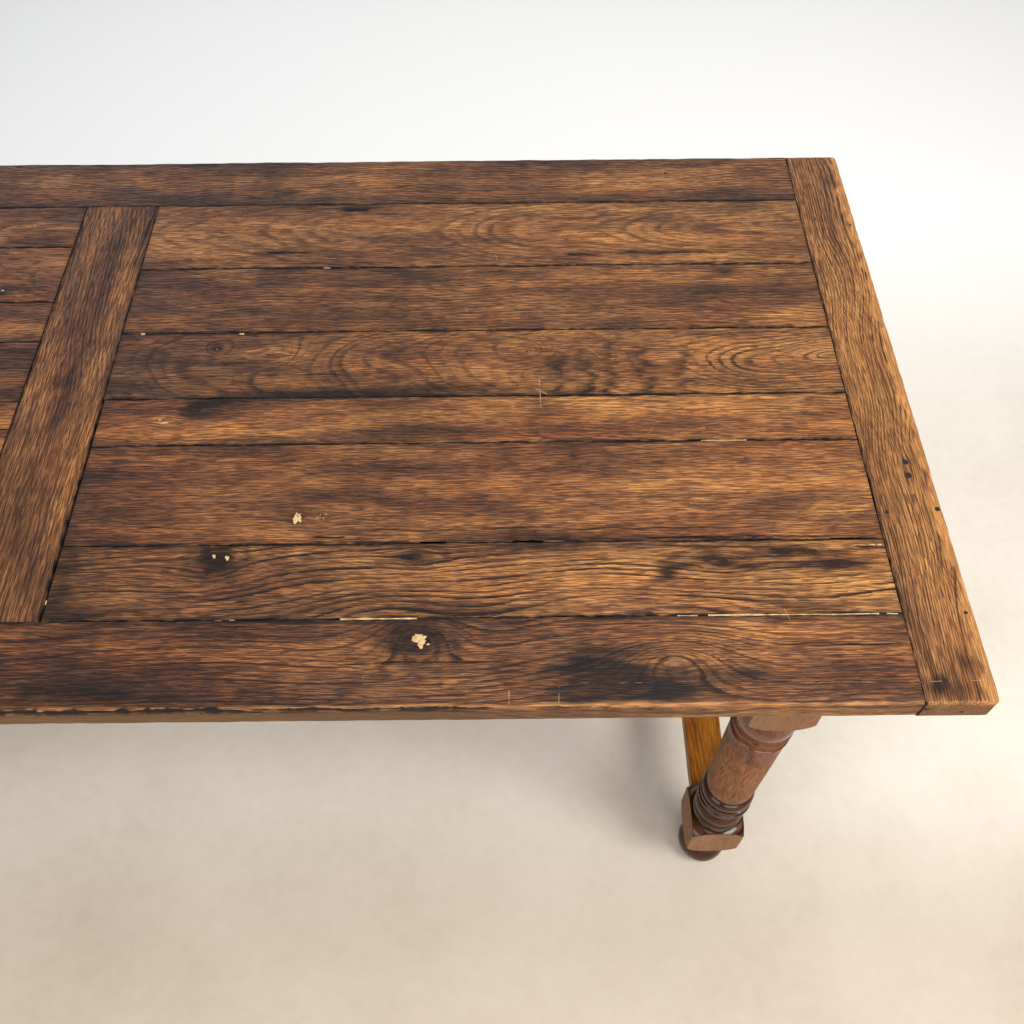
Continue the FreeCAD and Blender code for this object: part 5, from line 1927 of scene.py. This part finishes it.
@dataclass
class Studio:
    """Plain pale floor, soft lights and the camera."""

    lens: float = 34.89
    pitch: float = 55.936
    yaw: float = 0.036
    roll: float = -0.551
    eye: Triple = (0.5642, -0.8453, 1.710)
    floor_half: float = 12.0
    sensor: float = 36.0
    near: float = 0.02
    room: Colour = (0.95, 0.97, 1.0, 1.0)
    room_strength: float = 0.27

    def floor(self) -> None:
        """Lay the floor, a little darker and warmer in front of the table, which is painted shade, and paler
        behind it.
        """
        tree = Tree("pale_floor")
        place = tree.place()
        cloud, speck = tree.noise(place, (2.2, 2.2, 2.2), 5.0, 0.6), tree.noise(place, (45, 45, 45), 3.0, 0.6)
        stops = ((0.3, (205, 195, 180)), (0.5, (219, 210, 196)), (0.7, (228, 220, 208)))
        colour = tree.ramp(cloud * 0.75 + speck * 0.25, stops)
        behind = tree.axis(1, place)
        # Painted shade: the floor's colour is darkened in front of the table.
        colour = tree.mix(tree.span(behind, -0.2, -0.55), colour, paint((228, 221, 215)), "MULTIPLY")
        colour = tree.mix(tree.span(behind, 0.35, 1.3), colour, paint((250, 249, 247)))
        half, mesh = self.floor_half, bpy.data.meshes.new("floor_mesh")
        corners = [(-half, -half, 0), (half, -half, 0), (half, half, 0), (-half, half, 0)]
        mesh.from_pydata(corners, [], [(0, 1, 2, 3)])
        mesh.materials.append(tree.finish(colour, 0.75))
        shown("floor", mesh)

    def light(
        self, name: str, place: Triple, target: Triple, size: Pair, power: float, colour: Triple,
    ) -> None:
        """Hang one soft light.

        Args:
            name: its name.
            place: where it hangs.
            target: what it points at.
            size: its width and height.
            power: its strength in watts.
            colour: its colour.
        """
        lamp = bpy.data.lights.new(name, "AREA")
        lamp.shape = "RECTANGLE"
        lamp.size, lamp.size_y = size
        lamp.energy, lamp.color = power, colour
        holder = shown(name, lamp)
        holder.location = place
        holder.rotation_euler = (Vector(target) - Vector(place)).to_track_quat("-Z", "Y").to_euler()

    def lights(self) -> None:
        """Hang the lights and set the room's own light."""
        world = bpy.data.worlds.new("room")
        world.use_nodes = True
        sky = world.node_tree.nodes["Background"].inputs
        sky[0].default_value, sky[1].default_value = self.room, self.room_strength
        bpy.context.scene.world = world
        self.light("key", (2.5, -1.5, 2.9), (0.6, 0.0, 0.4), (1.2, 1.2), 72, (1.0, 0.97, 0.93))
        self.light("above", (1.0, -0.5, 3.6), (0.8, 0.0, 0.0), (2.6, 2.6), 64, (1.0, 0.98, 0.95))
        self.light("back_wall", (0.8, 2.7, 1.7), (0.6, 0.0, 0.9), (4.0, 2.0), 24, (1.0, 0.99, 0.98))
        self.light("front_fill", (1.3, -3.6, 1.2), (0.6, -0.2, 0.0), (2.6, 1.6), 66, (1.0, 0.97, 0.93))
        self.light("left_fill", (-1.8, -2.8, 1.3), (-0.1, -1.1, 0.0), (2.0, 1.6), 44, (1.0, 0.97, 0.94))
        self.light("window", (-1.5, 2.3, 2.6), (-0.1, 0.1, 0.7), (1.5, 1.5), 11, (0.62, 0.78, 1.0))

    def camera(self) -> None:
        """Set the camera where the photograph was taken."""
        pitch, yaw, roll = (math.radians(angle) for angle in (self.pitch, self.yaw, self.roll))
        forward = Vector((math.sin(yaw) * math.cos(pitch), math.cos(yaw) * math.cos(pitch), -math.sin(pitch)))
        level = Vector((math.cos(yaw), -math.sin(yaw), 0.0))
        over = level.cross(forward)
        right = level * math.cos(roll) + over * math.sin(roll)
        up = over * math.cos(roll) - level * math.sin(roll)
        data = bpy.data.cameras.new("camera")
        data.lens, data.sensor_width, data.clip_start = self.lens, self.sensor, self.near
        holder = shown("camera", data)
        turn = Matrix((right, up, -forward)).transposed().to_4x4()
        holder.matrix_world = Matrix.Translation(self.eye) @ turn
        bpy.context.scene.camera = holder

    def build(self) -> None:
        """Set up the studio."""
        self.floor()
        self.lights()
        self.camera()
        bpy.context.scene.view_settings.view_transform = "Standard"


def main() -> None:
    """Build the table and its studio."""
    Studio().build()
    PlankTop().build()
    Seams().build()
    leg_finish = LEG_OAK.material()
    for name, x_sign, y_sign, seed in (
        ("front_right_leg", 1, -1, 61), ("front_left_leg", -1, -1, 62),
        ("back_right_leg", 1, 1, 63), ("back_left_leg", -1, 1, 64),
    ):
        dress(TurnedLeg(name, x_sign, y_sign, seed).build(), Slot.LEG, leg_finish, name)
    UnderFrame().build()
    Pegs().build()
    WormHoles().build()


if __name__ == "__main__":
    logging.basicConfig(level=logging.INFO)
    main()
